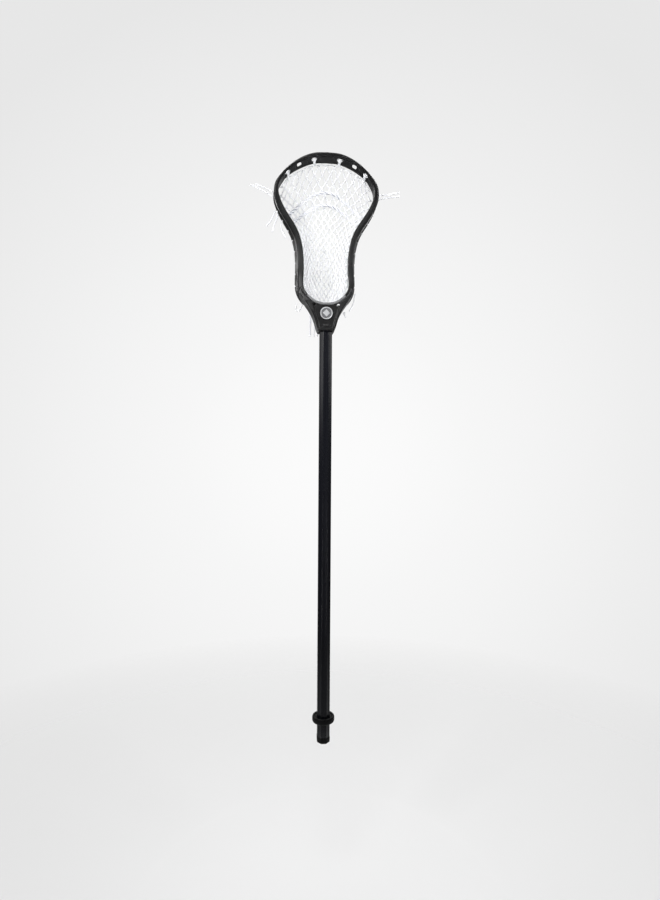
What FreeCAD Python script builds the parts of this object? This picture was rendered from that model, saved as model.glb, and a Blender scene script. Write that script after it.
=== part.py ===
import FreeCAD, Part
import Sketcher
import math
import os
from FreeCAD import Vector, Placement, Rotation

# Field lacrosse stick, millimetres.
# Frame: +Z runs up the shaft towards the head, the catching face looks towards -Y,
# +X is to the right seen from the front. Origin: centre of the end cap's flat bottom face.

doc = FreeCAD.newDocument("lacrosse_stick")

# ------------------------------------------------------------------ driving dimensions
sheet = doc.addObject("Spreadsheet::Sheet", "Dims")
DIMS = [
    ("shaft_width", 21.6, "shaft across the side flats"),
    ("shaft_depth", 26.0, "shaft front to back"),
    ("flat_front", 9.2, "length of the front and back flats"),
    ("flat_side", 12.4, "length of the side flats"),
    ("shaft_wall", 1.4, "tube wall"),
    ("shaft_length", 743.0, "tube length"),
    ("edge_radius", 1.3, "rounding of the tube's long edges"),
    ("cap_flange", 10.0, "visible height of the end cap"),
    ("cap_plug", 24.0, "length of the plug inside the tube"),
    ("cap_gap", 0.2, "gap between plug and bore"),
    ("cap_proud", 0.35, "how far the flange stands proud of the tube"),
    ("cap_round", 2.6, "rounding of the cap's bottom edge"),
    ("grip_low", 34.2, "underside of the grip ring"),
    ("grip_high", 11.0, "height of the grip ring"),
    ("grip_outer", 19.3, "outer radius of the grip ring"),
    ("grip_gap", 0.15, "gap between ring and tube"),
    ("screw_height", 731.0, "height of the head screw's axis"),
    ("screw_radius", 2.0, "screw shank radius"),
    ("screw_head_radius", 4.1, "screw head radius"),
    ("screw_head_height", 2.4, "screw head height"),
    ("screw_shank", 8.6, "screw shank length"),
    ("screw_seat", 19.35, "where the screw head seats, behind the axis"),
    ("screw_hole", 2.25, "radius of the holes for the screw"),
    ("socket_gap", 0.15, "gap between tube and socket"),
    ("socket_low", 710.5, "bottom edge of the head's collar"),
    ("socket_top", 753.4, "closed end of the socket"),
    ("badge_radius", 10.8, "radius of the round throat badge"),
    ("badge_thick", 1.5, "thickness of the throat badge"),
    ("badge_height", 740.4, "height of the badge centre"),
    ("recess_floor", -15.6, "floor of the throat's front recess"),
    ("throat_front", -18.6, "front of the throat"),
    ("pad_thick", 4.0, "ball stop foam thickness"),
    ("mesh_thick", 3.0, "thickness of the pocket mesh"),
    ("pocket_sag", 36.0, "depth of the pocket below the back rail"),
    ("string_dia", 2.2, "nylon stringing cord"),
    ("lace_dia", 4.6, "rolled shooting lace"),
    ("tail_dia", 2.4, "free ends of the lacing"),
    ("flat_lace", 5.0, "width of the wide free lace"),
    ("hole_radius", 2.3, "string holes in the rail"),
]
for row, (alias, value, note) in enumerate(DIMS, 1):
    sheet.set("A%d" % row, note)
    sheet.set("B%d" % row, str(value))
    sheet.setAlias("B%d" % row, alias)
doc.recompute()


def dim(alias):
    return float(sheet.get(alias))


# ------------------------------------------------------------------ small helpers
def plane(body, role):
    for feature in body.Origin.OriginFeatures:
        if feature.Role == role:
            return feature
    raise RuntimeError(role)


def new_body(label):
    body = doc.addObject("PartDesign::Body", label)
    body.Label = label
    return body


def new_sketch(body, name, role, offset=None):
    sk = body.newObject("Sketcher::SketchObject", name)
    sk.AttachmentSupport = [(plane(body, role), "")]
    sk.MapMode = "FlatFace"
    if offset is not None:
        sk.AttachmentOffset = offset
    return sk


def locate(sk, geo, pos, x, y, ex, ey):
    """Ties one point of the sketch to the origin by two bound distances."""
    for kind, value, expr in (("DistanceX", x, ex), ("DistanceY", y, ey)):
        if abs(value) < 1e-9:
            continue
        if value > 0:
            c = sk.addConstraint(Sketcher.Constraint(kind, -1, 1, geo, pos, value))
        else:
            c = sk.addConstraint(Sketcher.Constraint(kind, geo, pos, -1, 1, -value))
        if expr:
            sk.setExpression("Constraints[%d]" % c, expr)


def octagon(sk, width, depth, front, side, extra):
    """Octagon of a lacrosse tube; extra is added to every flat's distance from the axis."""
    grow = float(extra[0])
    k = 0.41421356 * grow * 2
    w, d = width / 2 + grow, depth / 2 + grow
    f, s = front / 2 + k / 2, side / 2 + k / 2
    ew = "Dims.shaft_width / 2 + (%s)" % extra[1]
    ed = "Dims.shaft_depth / 2 + (%s)" % extra[1]
    ef = "Dims.flat_front / 2 + 0.41421356 * (%s)" % extra[1]
    es = "Dims.flat_side / 2 + 0.41421356 * (%s)" % extra[1]
    pts = [(f, -d), (w, -s), (w, s), (f, d), (-f, d), (-w, s), (-w, -s), (-f, -d)]
    exs = [(ef, ed), (ew, es), (ew, es), (ef, ed), (ef, ed), (ew, es), (ew, es), (ef, ed)]
    geos = []
    for i in range(8):
        a, b = pts[i], pts[(i + 1) % 8]
        geos.append(sk.addGeometry(Part.LineSegment(Vector(a[0], a[1], 0), Vector(b[0], b[1], 0)), False))
    for i in range(8):
        sk.addConstraint(Sketcher.Constraint("Coincident", geos[i], 2, geos[(i + 1) % 8], 1))
    for i in range(8):
        locate(sk, geos[i], 1, pts[i][0], pts[i][1], exs[i][0], exs[i][1])


def circle(sk, x, y, radius, expr, ex=None, ey=None):
    g = sk.addGeometry(Part.Circle(Vector(x, y, 0), Vector(0, 0, 1), radius), False)
    c = sk.addConstraint(Sketcher.Constraint("Radius", g, radius))
    if expr:
        sk.setExpression("Constraints[%d]" % c, expr)
    if abs(x) < 1e-9 and abs(y) < 1e-9:
        sk.addConstraint(Sketcher.Constraint("Coincident", g, 3, -1, 1))
    else:
        locate(sk, g, 3, x, y, ex, ey)
        if abs(x) < 1e-9:
            sk.addConstraint(Sketcher.Constraint("PointOnObject", g, 3, -2))
        if abs(y) < 1e-9:
            sk.addConstraint(Sketcher.Constraint("PointOnObject", g, 3, -1))
    return g


def polygon(sk, pts):
    geos = []
    n = len(pts)
    for i in range(n):
        a, b = pts[i], pts[(i + 1) % n]
        geos.append(sk.addGeometry(Part.LineSegment(Vector(a[0], a[1], 0), Vector(b[0], b[1], 0)), False))
    for i in range(n):
        sk.addConstraint(Sketcher.Constraint("Coincident", geos[i], 2, geos[(i + 1) % n], 1))
    for i in range(n):
        locate(sk, geos[i], 1, pts[i][0], pts[i][1], pts[i][2] if len(pts[i]) > 2 else None,
               pts[i][3] if len(pts[i]) > 3 else None)
    return geos


def pad(body, sk, name, expr=None, length=1.0, reversed_=False, midplane=False):
    feature = body.newObject("PartDesign::Pad", name)
    feature.Profile = sk
    feature.Length = length
    if expr:
        feature.setExpression("Length", expr)
    feature.Reversed = reversed_
    feature.Midplane = midplane
    sk.Visibility = False
    doc.recompute()
    return feature


def pocket(body, sk, name, length, expr=None, reversed_=False, midplane=False):
    """A pocket that is proved to have cut something."""
    before = body.Shape.Volume
    feature = body.newObject("PartDesign::Pocket", name)
    feature.Profile = sk
    feature.Length = length
    if expr:
        feature.setExpression("Length", expr)
    feature.Reversed = reversed_
    feature.Midplane = midplane
    doc.recompute()
    if not body.Shape.Volume < before - 1e-3:
        raise RuntimeError("%s cut nothing" % name)
    return feature


def edges_where(shape, test):
    names = []
    for i, edge in enumerate(shape.Edges, 1):
        if test(edge):
            names.append("Edge%d" % i)
    return names


def fillet(body, base, name, names, radius, expr=None):
    feature = body.newObject("PartDesign::Fillet", name)
    feature.Base = (base, names)
    feature.Radius = radius
    if expr:
        feature.setExpression("Radius", expr)
    doc.recompute()
    return feature


def feature_from(label, shape, placement=None):
    obj = doc.addObject("Part::Feature", label)
    obj.Label = label
    obj.Shape = shape
    obj.Placement = placement if placement is not None else Placement()
    return obj


# ------------------------------------------------------------------ shaft
W, D, FF, FS = dim("shaft_width"), dim("shaft_depth"), dim("flat_front"), dim("flat_side")
shaft = new_body("shaft")
sk = new_sketch(shaft, "shaft_outline", "XY_Plane")
octagon(sk, W, D, FF, FS, (0.0, "0"))
base = pad(shaft, sk, "shaft_tube", "Dims.shaft_length", dim("shaft_length"))
long_edges = edges_where(
    base.Shape,
    lambda e: abs(e.BoundBox.ZLength - dim("shaft_length")) < 1e-6,
)
fillet(shaft, base, "shaft_edges", long_edges, dim("edge_radius"), "Dims.edge_radius")
sk = new_sketch(shaft, "shaft_bore", "XY_Plane")
octagon(sk, W, D, FF, FS, (-dim("shaft_wall"), "-Dims.shaft_wall"))
pocket(shaft, sk, "shaft_bore_cut", dim("shaft_length"), "Dims.shaft_length", reversed_=True)
sk = new_sketch(shaft, "shaft_screw_hole", "XZ_Plane")
circle(sk, 0, dim("screw_height") - dim("cap_flange"), dim("screw_hole"), "Dims.screw_hole",
       None, "Dims.screw_height - Dims.cap_flange")
pocket(shaft, sk, "shaft_screw_cut", 30.0)
shaft.setExpression("Placement.Base.z", "Dims.cap_flange")

# ------------------------------------------------------------------ end cap
cap = new_body("end_cap")
sk = new_sketch(cap, "cap_outline", "XY_Plane")
octagon(sk, W, D, FF, FS, (dim("cap_proud"), "Dims.cap_proud"))
base = pad(cap, sk, "cap_flange_pad", "Dims.cap_flange - 0.1", dim("cap_flange") - 0.1)
upright = edges_where(base.Shape, lambda e: e.BoundBox.ZLength > 5)
base = fillet(cap, base, "cap_corners", upright, dim("edge_radius"), "Dims.edge_radius")
low = edges_where(base.Shape, lambda e: e.BoundBox.ZMax < 1e-6)
fillet(cap, base, "cap_bottom_round", low, dim("cap_round"), "Dims.cap_round")
plug_in = dim("shaft_wall") + dim("cap_gap")
sk = new_sketch(cap, "cap_plug_outline", "XY_Plane")
octagon(sk, W, D, FF, FS, (-plug_in, "-Dims.shaft_wall - Dims.cap_gap"))
pad(cap, sk, "cap_plug_pad", "Dims.cap_flange + Dims.cap_plug", dim("cap_flange") + dim("cap_plug"))
# the plug starts above the rounded bottom, so the flat face keeps its own outline
sk = new_sketch(cap, "cap_core", "XY_Plane", Placement(Vector(0, 0, 16), Rotation()))
octagon(sk, W, D, FF, FS, (-plug_in - 2.4, "-Dims.shaft_wall - Dims.cap_gap - 2.4"))
pocket(cap, sk, "cap_core_cut", 40.0, reversed_=True)

# ------------------------------------------------------------------ grip ring
ring = new_body("grip_ring")
sk = new_sketch(ring, "ring_section", "XZ_Plane")
R, G = dim("grip_outer"), dim("grip_high")
profile = [
    (8.0, 0.0, None, None), (R - 3.0, 0.0, "Dims.grip_outer - 3.0", None),
    (R - 1.0, 0.9, "Dims.grip_outer - 1.0", None), (R, 3.0, "Dims.grip_outer", None),
    (R, G - 2.6, "Dims.grip_outer", "Dims.grip_high - 2.6"),
    (R - 0.9, G - 0.5, "Dims.grip_outer - 0.9", "Dims.grip_high - 0.5"),
    (R - 2.0, G, "Dims.grip_outer - 2.0", "Dims.grip_high"),
    (R - 3.2, G - 0.4, "Dims.grip_outer - 3.2", "Dims.grip_high - 0.4"),
    (R - 4.6, G - 2.6, "Dims.grip_outer - 4.6", "Dims.grip_high - 2.6"),
    (8.0, G - 3.0, None, "Dims.grip_high - 3.0"),
]
polygon(sk, profile)
rev = ring.newObject("PartDesign::Revolution", "ring_turned")
rev.Profile = sk
rev.ReferenceAxis = (sk, ["V_Axis"])
rev.Angle = 360
doc.recompute()
sk = new_sketch(ring, "ring_bore", "XY_Plane")
octagon(sk, W, D, FF, FS, (dim("grip_gap"), "Dims.grip_gap"))
pocket(ring, sk, "ring_bore_cut", 40.0, reversed_=True)
ring.setExpression("Placement.Base.z", "Dims.grip_low")

# ------------------------------------------------------------------ head screw (axis along Y, built along Z)
screw = new_body("head_screw")
SR, HR, HH, SL = dim("screw_radius"), dim("screw_head_radius"), dim("screw_head_height"), dim("screw_shank")
sk = new_sketch(screw, "screw_section", "XZ_Plane")
polygon(sk, [
    (0.0, -SL, None, "Dims.screw_shank"),
    (SR - 0.7, -SL, "Dims.screw_radius - 0.7", "Dims.screw_shank"),
    (SR, -SL + 1.2, "Dims.screw_radius", "Dims.screw_shank - 1.2"),
    (SR, 0.0, "Dims.screw_radius", None),
    (HR, 0.0, "Dims.screw_head_radius", None),
    (HR, HH - 1.3, "Dims.screw_head_radius", "Dims.screw_head_height - 1.3"),
    (HR - 1.1, HH - 0.3, "Dims.screw_head_radius - 1.1", "Dims.screw_head_height - 0.3"),
    (HR - 2.2, HH, "Dims.screw_head_radius - 2.2", "Dims.screw_head_height"),
    (0.0, HH, None, "Dims.screw_head_height"),
])
for gi in (0, 8):
    sk.addConstraint(Sketcher.Constraint("PointOnObject", gi, 1, -2))
rev = screw.newObject("PartDesign::Revolution", "screw_turned")
rev.Profile = sk
rev.ReferenceAxis = (sk, ["V_Axis"])
rev.Angle = 360
doc.recompute()
for name, w_, h_ in (("screw_slot_a", 4.6, 1.1), ("screw_slot_b", 1.1, 4.6)):
    sk = new_sketch(screw, name, "XY_Plane", Placement(Vector(0, 0, HH + 0.2), Rotation()))
    polygon(sk, [(-w_ / 2, -h_ / 2), (w_ / 2, -h_ / 2), (w_ / 2, h_ / 2), (-w_ / 2, h_ / 2)])
    pocket(screw, sk, name + "_cut", 1.7)
screw.Placement = Placement(Vector(0, dim("screw_seat"), dim("screw_height")), Rotation(Vector(1, 0, 0), -90))
screw.setExpression("Placement.Base.y", "Dims.screw_seat")
screw.setExpression("Placement.Base.z", "Dims.screw_height")

# ------------------------------------------------------------------ throat badge: plain ring and diamond
badge = new_body("throat_badge")
BR, BT = dim("badge_radius"), dim("badge_thick")
sk = new_sketch(badge, "badge_disc", "XY_Plane")
circle(sk, 0, 0, BR, "Dims.badge_radius")
base = pad(badge, sk, "badge_disc_pad", "Dims.badge_thick", BT)
rim = edges_where(base.Shape, lambda e: e.BoundBox.ZMin > BT - 1e-6)
fillet(badge, base, "badge_rim", rim, 0.5)
sk = new_sketch(badge, "badge_field", "XY_Plane", Placement(Vector(0, 0, BT), Rotation()))
circle(sk, 0, 0, BR - 1.9, "Dims.badge_radius - 1.9")
polygon(sk, [(0.0, -6.2), (6.2, 0.0), (0.0, 6.2), (-6.2, 0.0)])
for gi, axis in ((1, -2), (2, -1), (3, -2), (4, -1)):
    sk.addConstraint(Sketcher.Constraint("PointOnObject", gi, 1, axis))
pocket(badge, sk, "badge_field_cut", 0.5)
badge.Placement = Placement(Vector(0, dim("recess_floor"), dim("badge_height")), Rotation(Vector(1, 0, 0), 90))
badge.setExpression("Placement.Base.y", "Dims.recess_floor")
badge.setExpression("Placement.Base.z", "Dims.badge_height")

# ------------------------------------------------------------------ head frame: rail path
# One row per station of the right half, from the middle of the ball stop to the middle of
# the scoop: X and Z of the inner front edge, front and back of the wall in Y, thickness of
# the front rail, of the back rail and of the web between them, outward lean of the back.
STATIONS = [
    (0.0, 759.2, -15.5, 27.0, 10.4, 10.4, 10.4, 0.0),
    (14.2, 761.2, -15.0, 28.0, 10.4, 10.2, 10.2, 0.1),
    (26.2, 768.9, -12.5, 30.0, 10.4, 10.0, 9.4, 0.9),
    (35.4, 780.0, -8.0, 33.0, 10.6, 10.0, 7.6, 2.4),
    (39.2, 793.3, -2.5, 36.0, 10.8, 10.0, 5.6, 4.1),
    (39.0, 808.0, 2.5, 38.0, 11.0, 10.0, 4.6, 5.2),
    (38.3, 826.0, 5.0, 40.0, 11.1, 10.1, 4.4, 5.3),
    (39.0, 845.0, 5.5, 40.0, 11.1, 10.1, 4.4, 4.9),
    (41.0, 862.0, 5.0, 39.0, 10.9, 10.0, 4.4, 4.4),
    (45.6, 879.8, 4.0, 38.0, 10.5, 9.7, 4.4, 3.7),
    (53.1, 896.3, 2.0, 36.5, 9.9, 9.1, 4.3, 2.9),
    (62.8, 910.4, 0.0, 34.5, 9.5, 8.7, 4.2, 2.1),
    (72.2, 924.4, -2.5, 32.5, 9.3, 8.5, 4.1, 1.7),
    (79.4, 938.5, -5.0, 30.5, 8.8, 8.2, 4.0, 1.8),
    (83.0, 951.7, -8.0, 28.0, 8.3, 7.8, 4.0, 2.4),
    (81.3, 965.4, -11.0, 24.0, 7.1, 6.6, 3.9, 2.8),
    (73.5, 977.6, -14.0, 18.5, 5.7, 5.2, 3.8, 2.2),
    (62.0, 988.7, -16.5, 13.5, 5.0, 4.5, 3.7, 0.6),
    (46.8, 998.6, -18.5, 9.5, 5.1, 4.6, 3.6, -1.6),
    (28.8, 1006.5, -19.6, 6.5, 5.3, 4.8, 3.5, -3.0),
    (9.6, 1009.9, -20.0, 5.2, 5.2, 4.7, 3.5, -3.6),
    (0.0, 1010.2, -20.0, 5.0, 5.1, 4.6, 3.5, -3.7),
]


def flipped(row):
    return (-row[0],) + tuple(row[1:])


EXT = [flipped(STATIONS[2]), flipped(STATIONS[1])] + STATIONS + [flipped(STATIONS[-2]), flipped(STATIONS[-3])]
PAR = [0.0]
for a, b in zip(EXT[:-1], EXT[1:]):
    PAR.append(PAR[-1] + math.hypot(b[0] - a[0], b[1] - a[1]))
T0, T1 = PAR[2], PAR[-3]
LOOP = T1 - T0


def slopes(col):
    n = len(EXT)
    m = [0.0] * n
    for i in range(n):
        if i == 0:
            m[i] = (EXT[1][col] - EXT[0][col]) / (PAR[1] - PAR[0])
        elif i == n - 1:
            m[i] = (EXT[-1][col] - EXT[-2][col]) / (PAR[-1] - PAR[-2])
        else:
            h0, h1 = PAR[i] - PAR[i - 1], PAR[i + 1] - PAR[i]
            d0 = (EXT[i][col] - EXT[i - 1][col]) / h0
            d1 = (EXT[i + 1][col] - EXT[i][col]) / h1
            m[i] = (d0 * h1 + d1 * h0) / (h0 + h1)
    return m


SLOPES = [slopes(c) for c in range(8)]


def row_at(t):
    """Rail values at distance t (mm) along the right half, 0 at the ball stop's middle."""
    s = t + T0
    k = 0
    while k < len(PAR) - 2 and PAR[k + 1] < s:
        k += 1
    step = PAR[k + 1] - PAR[k]
    u = (s - PAR[k]) / step
    out = []
    for c in range(8):
        out.append((2 * u ** 3 - 3 * u ** 2 + 1) * EXT[k][c] + (u ** 3 - 2 * u ** 2 + u) * step * SLOPES[c][k]
                   + (-2 * u ** 3 + 3 * u ** 2) * EXT[k + 1][c] + (u ** 3 - u ** 2) * step * SLOPES[c][k + 1])
    return out


def normal_at(t):
    a, b = row_at(t - 0.6), row_at(t + 0.6)
    dx, dz = b[0] - a[0], b[1] - a[1]
    n = math.hypot(dx, dz)
    if t < 1e-6:
        return (0.0, -1.0)
    if t > LOOP - 1e-6:
        return (0.0, 1.0)
    return (dz / n, -dx / n)


def lean_at(row, y):
    """How far the inner face leans outwards at depth y."""
    u = (y - row[2]) / (row[3] - row[2])
    return row[7] * max(0.0, min(1.0, u))


def on_rail(t, n, y, side=1):
    """Point at distance t along the half loop, n outwards from the inner face, depth y."""
    row = row_at(t)
    N = normal_at(t)
    off = n + lean_at(row, y)
    return Vector(side * (row[0] + N[0] * off), y, row[1] + N[1] * off)


def section(t, pts):
    row = row_at(t)
    N = normal_at(t)
    vs = [Vector(row[0] + N[0] * n, y, row[1] + N[1] * n) for n, y in pts]
    return Part.makePolygon(vs + [vs[0]])


def rail_points(t):
    X, z, yf, yb, tf, tb, tw, lean = row_at(t)
    scoop = max(0.0, min(1.0, (t - 0.72 * LOOP) / (0.12 * LOOP)))
    hf = 8.5 * (1 - scoop) + 4.6 * scoop
    hb = 8.5 * (1 - scoop) + 3.6 * scoop
    c = 1.3
    wall = lambda y: lean * (y - yf) / (yb - yf)
    return [
        (c, yf), (tf - 2.3, yf), (tf, yf + 2.6), (tf, yf + hf - 1.0),
        (wall(yf + hf) + tw, yf + hf + 1.2), (wall(yb - hb) + tw, yb - hb - 1.2),
        (lean + tb, yb - hb + 1.2), (lean + tb, yb - c), (lean + tb - c, yb), (lean + c, yb),
        (lean, yb - c), (0.0, yf + c),
    ]


def spaced(t_low, t_high, step):
    n = max(2, int(round((t_high - t_low) / step)))
    return [t_low + (t_high - t_low) * i / n for i in range(n + 1)]


def mirrored(shape):
    return shape.mirror(Vector(0, 0, 0), Vector(1, 0, 0))


def loft_along(ts, points_at):
    wires = [section(t, points_at(t)) for t in ts]
    return Part.makeLoft(wires, True, False)


half = loft_along(spaced(0.0, LOOP, 14.0), rail_points)
loop = half.fuse(mirrored(half)).removeSplitter()

# ------------------------------------------------------------------ throat body
TF = dim("throat_front")
LOW, TOP = dim("socket_low"), dim("socket_top")
# half outline in X and Z, from the collar up the outside to the shoulder, back along the wall
OUT = [(13.3, LOW), (15.9, LOW + 4.6), (17.1, 719.0), (18.6, 724.5), (20.6, 731.0), (23.1, 738.0), (26.6, 745.0),
       (31.2, 753.0), (37.0, 761.5), (42.6, 769.5), (46.3, 776.5)]
BACKLINE = [(t, 5.0) for t in (52.0, 46.0, 40.0, 33.0, 26.0, 18.0, 9.0, 0.0)]
right = [Vector(x, 0, z) for x, z in OUT]
inner = []
for t, n in BACKLINE:
    p = on_rail(t, n, 0.0)
    inner.append(Vector(p.x, 0, p.z))
ring_pts = right + inner + [Vector(-v.x, 0, v.z) for v in reversed(inner[:-1])] + [Vector(-v.x, 0, v.z) for v in reversed(right)]
front_view = Part.Face(Part.makePolygon(ring_pts + [ring_pts[0]]))
front_view.translate(Vector(0, -30, 0))
throat = front_view.extrude(Vector(0, 80, 0))
# side profile in Y and Z
PROFILE = [(TF + 1.6, LOW), (TF, LOW + 4.0), (TF, 744.0), (-16.0, 762.0), (-10.5, 778.0), (-6.0, 790.0),
           (24.0, 790.0), (25.5, 776.0), (23.0, 764.0), (21.2, 757.0), (19.6, 748.0), (19.3, 742.0),
           (19.3, 720.0), (18.4, LOW)]
side_face = Part.Face(Part.makePolygon([Vector(-60, y, z) for y, z in PROFILE] + [Vector(-60, PROFILE[0][0], PROFILE[0][1])]))
throat = throat.common(side_face.extrude(Vector(120, 0, 0)))
upright = [e for e in throat.Edges
           if e.BoundBox.YLength < 1.5 and e.BoundBox.ZLength > 2 and abs(e.BoundBox.YMin - TF) < 1.7
           and abs(abs(e.CenterOfMass.x)) > 14 and e.CenterOfMass.z < 752]
head = loop.fuse(throat)


def octagon_face(grow, z):
    w, d = W / 2 + grow, D / 2 + grow
    f, s = FF / 2 + 0.41421356 * grow, FS / 2 + 0.41421356 * grow
    pts = [(f, -d), (w, -s), (w, s), (f, d), (-f, d), (-w, s), (-w, -s), (-f, -d)]
    vs = [Vector(x, y, z) for x, y in pts]
    return Part.Face(Part.makePolygon(vs + [vs[0]]))


cuts = []
cuts.append(octagon_face(dim("socket_gap"), LOW - 5).extrude(Vector(0, 0, TOP - LOW + 5)))
# tapered lead-in at the mouth of the socket
low_wire = octagon_face(dim("socket_gap") + 1.3, LOW - 0.5).OuterWire
high_wire = octagon_face(dim("socket_gap") - 0.01, LOW + 3.0).OuterWire
cuts.append(Part.makeLoft([low_wire, high_wire], True, True))
# front recess behind the badge
FLOOR = dim("recess_floor")
REC = [(11.7, 714.4), (13.6, 724.0), (15.6, 731.0), (18.4, 739.0), (21.6, 746.0), (21.8, 751.5)]
rec_top = [(15.0, 749.6), (8.0, 747.6), (0.0, 746.9)]
REC_TOP = [(19.5, 753.2), (13.0, 750.4)]
rec = REC + [(13.2, 750.6), (6.5, 748.9), (0.0, 748.4)]
rec_pts = [Vector(x, -40, z) for x, z in rec] + [Vector(-x, -40, z) for x, z in reversed(rec[:-1])]
# the badge needs room above it: the recess reaches the ball stop's rim
lift = 5.4
rec_pts = [Vector(v.x, v.y, v.z + (lift if v.z > 745 else 0.0)) for v in rec_pts]
recess = Part.Face(Part.makePolygon(rec_pts + [rec_pts[0]])).extrude(Vector(0, 40 + FLOOR, 0))
cuts.append(recess)
# screw hole through the back of the throat
cuts.append(Part.makeCylinder(dim("screw_hole"), 20.0, Vector(0, 10, dim("screw_height")), Vector(0, 1, 0)))
# lightening pockets in the back of the shoulders
for sgn in (1, -1):
    pts = [(24.5, 749.0), (33.0, 757.5), (40.0, 768.0), (33.0, 766.5), (26.0, 759.5)]
    vs = [Vector(sgn * x, 60, z) for x, z in pts]
    cuts.append(Part.Face(Part.makePolygon(vs + [vs[0]])).extrude(Vector(0, -46, 0)))


def slot_prism(centre, along, across, length, width, direction, reach):
    """Straight hole with round ends: a slot of the given size pushed along direction."""
    a = Vector(along).normalize()
    c = Vector(across).normalize()
    r = width / 2
    h = length / 2 - r
    start = Vector(centre) - Vector(direction).normalize() * reach
    p = [start + a * h + c * r, start - a * h + c * r, start - a * h - c * r, start + a * h - c * r]
    m1 = start - a * (h + r)
    m2 = start + a * (h + r)
    edges = [Part.LineSegment(p[0], p[1]).toShape(), Part.Arc(p[1], m1, p[2]).toShape(),
             Part.LineSegment(p[2], p[3]).toShape(), Part.Arc(p[3], m2, p[0]).toShape()]
    return Part.Face(Part.Wire(edges)).extrude(Vector(direction).normalize() * reach * 2)


def rounded_prism(yz, radius, x0, x1):
    """Prism along X over a polygon in Y and Z whose corners are rounded."""
    n = len(yz)
    edges = []
    last = None
    first = None
    for i in range(n):
        a = Vector(0, *yz[i - 1])
        b = Vector(0, *yz[i])
        c = Vector(0, *yz[(i + 1) % n])
        u, v = (a - b), (c - b)
        u.normalize()
        v.normalize()
        half_turn = (math.pi - u.getAngle(v)) / 2
        cut = radius * math.tan(half_turn)
        p, q = b + u * cut, b + v * cut
        bis = (u + v)
        bis.normalize()
        mid = b + bis * (radius / math.cos(half_turn) - radius)
        if last is not None:
            edges.append(Part.LineSegment(last, p).toShape())
        else:
            first = p
        edges.append(Part.Arc(p, mid, q).toShape())
        last = q
    edges.append(Part.LineSegment(last, first).toShape())
    face = Part.Face(Part.Wire(edges))
    face.translate(Vector(x0, 0, 0))
    return face.extrude(Vector(x1 - x0, 0, 0))


# three windows in each side wall, between the front and the back rail
WINDOWS = [
    [(12.5, 812.0), (28.0, 806.0), (29.5, 842.0), (15.5, 842.0)],
    [(15.5, 850.0), (29.0, 850.0), (27.5, 884.0), (14.0, 879.0)],
    [(12.5, 887.0), (26.0, 892.0), (22.5, 926.0), (9.0, 921.0)],
]
for yz in WINDOWS:
    for sgn in (1, -1):
        cuts.append(rounded_prism(yz, 3.4, 20 * sgn, 112 * sgn))

# string holes: along the back rail, through the scoop, through the ball stop
HR_ = dim("hole_radius")
SIDE_HOLES = [62.0, 84.0, 106.0, 128.0, 150.0, 171.0, 190.0, 207.0]
for t in SIDE_HOLES:
    row = row_at(t)
    N = normal_at(t)
    for sgn in (1, -1):
        c = on_rail(t, 4.0, row[3] - 5.0, sgn)
        cuts.append(Part.makeCylinder(HR_, 40.0, c - Vector(sgn * N[0], 0, N[1]) * 20, Vector(sgn * N[0], 0, N[1])))


def loop_near(x):
    """Distance along the half loop of the scoop point nearest to the given X."""
    best = None
    t = 0.75 * LOOP
    while t <= LOOP:
        row = row_at(t)
        N = normal_at(t)
        px = row[0] + N[0] * row[7]
        if best is None or abs(px - x) < best[0]:
            best = (abs(px - x), t)
        t += 0.25
    return best[1]


SCOOP_HOLES = [loop_near(x) for x in (68.0, 46.8, 21.6)]
SCOOP_IN = 11.5     # how far behind the front edge each slot opens on the inner face
SCOOP_SLOPE = (0.85, 0.5)   # the slots run backwards and outwards through the web
for t in SCOOP_HOLES:
    row = row_at(t)
    N = normal_at(t)
    for sgn in (1, -1):
        d = Vector(sgn * N[0] * SCOOP_SLOPE[1], SCOOP_SLOPE[0], N[1] * SCOOP_SLOPE[1])
        along = Vector(N[1], 0, -sgn * N[0])
        c = on_rail(t, 1.8, row[2] + SCOOP_IN + 3.2, sgn)
        cuts.append(slot_prism(c, along, d.cross(along), 8.6, 5.2, d, 11.0))
BOTTOM_HOLES = [8.0, 22.0]
for t in BOTTOM_HOLES:
    row = row_at(t)
    N = normal_at(t)
    for sgn in (1, -1):
        c = on_rail(t, 4.0, row[3] - 3.9, sgn)
        d = Vector(sgn * N[0], 0, N[1])
        cuts.append(Part.makeCylinder(2.3, 26.0, c - d * 8, d))
LACE_HOLES = [219.0, 229.0]
for t in LACE_HOLES:
    row = row_at(t)
    N = normal_at(t)
    for sgn in (1, -1):
        c = on_rail(t, 4.0, row[3] - 5.0, sgn)
        d = Vector(sgn * N[0], 0, N[1])
        cuts.append(Part.makeCylinder(HR_, 40.0, c - d * 20, d))
for x, z, r in ((20.8, 755.6, 2.1), (-20.8, 755.6, 2.1)):
    cuts.append(Part.makeCylinder(r, 60.0, Vector(x, -30, z), Vector(0, 1, 0)))

for c in cuts:
    before = head.Volume
    head = head.cut(c)
    if not head.Volume < before - 0.01:
        raise RuntimeError("a cut in the head frame removed nothing")
# raised bar on the recess floor under the badge
bar_side = [Vector(-5.2, y, z) for y, z in ((FLOOR + 0.4, 717.2), (FLOOR - 1.7, 717.2), (FLOOR - 1.7, 717.9), (FLOOR - 0.3, 720.4), (FLOOR + 0.4, 720.4))]
head = head.fuse(Part.Face(Part.makePolygon(bar_side + [bar_side[0]])).extrude(Vector(10.4, 0, 0)))

# ------------------------------------------------------------------ ball stop foam, let into the wall
PT = dim("pad_thick")


def pad_points(n0, n1, y0, y1):
    def f(t):
        row = row_at(t)
        return [(n0, row[2] + y0), (n1, row[2] + y0), (n1, row[3] - y1), (n0, row[3] - y1)]
    return f


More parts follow.
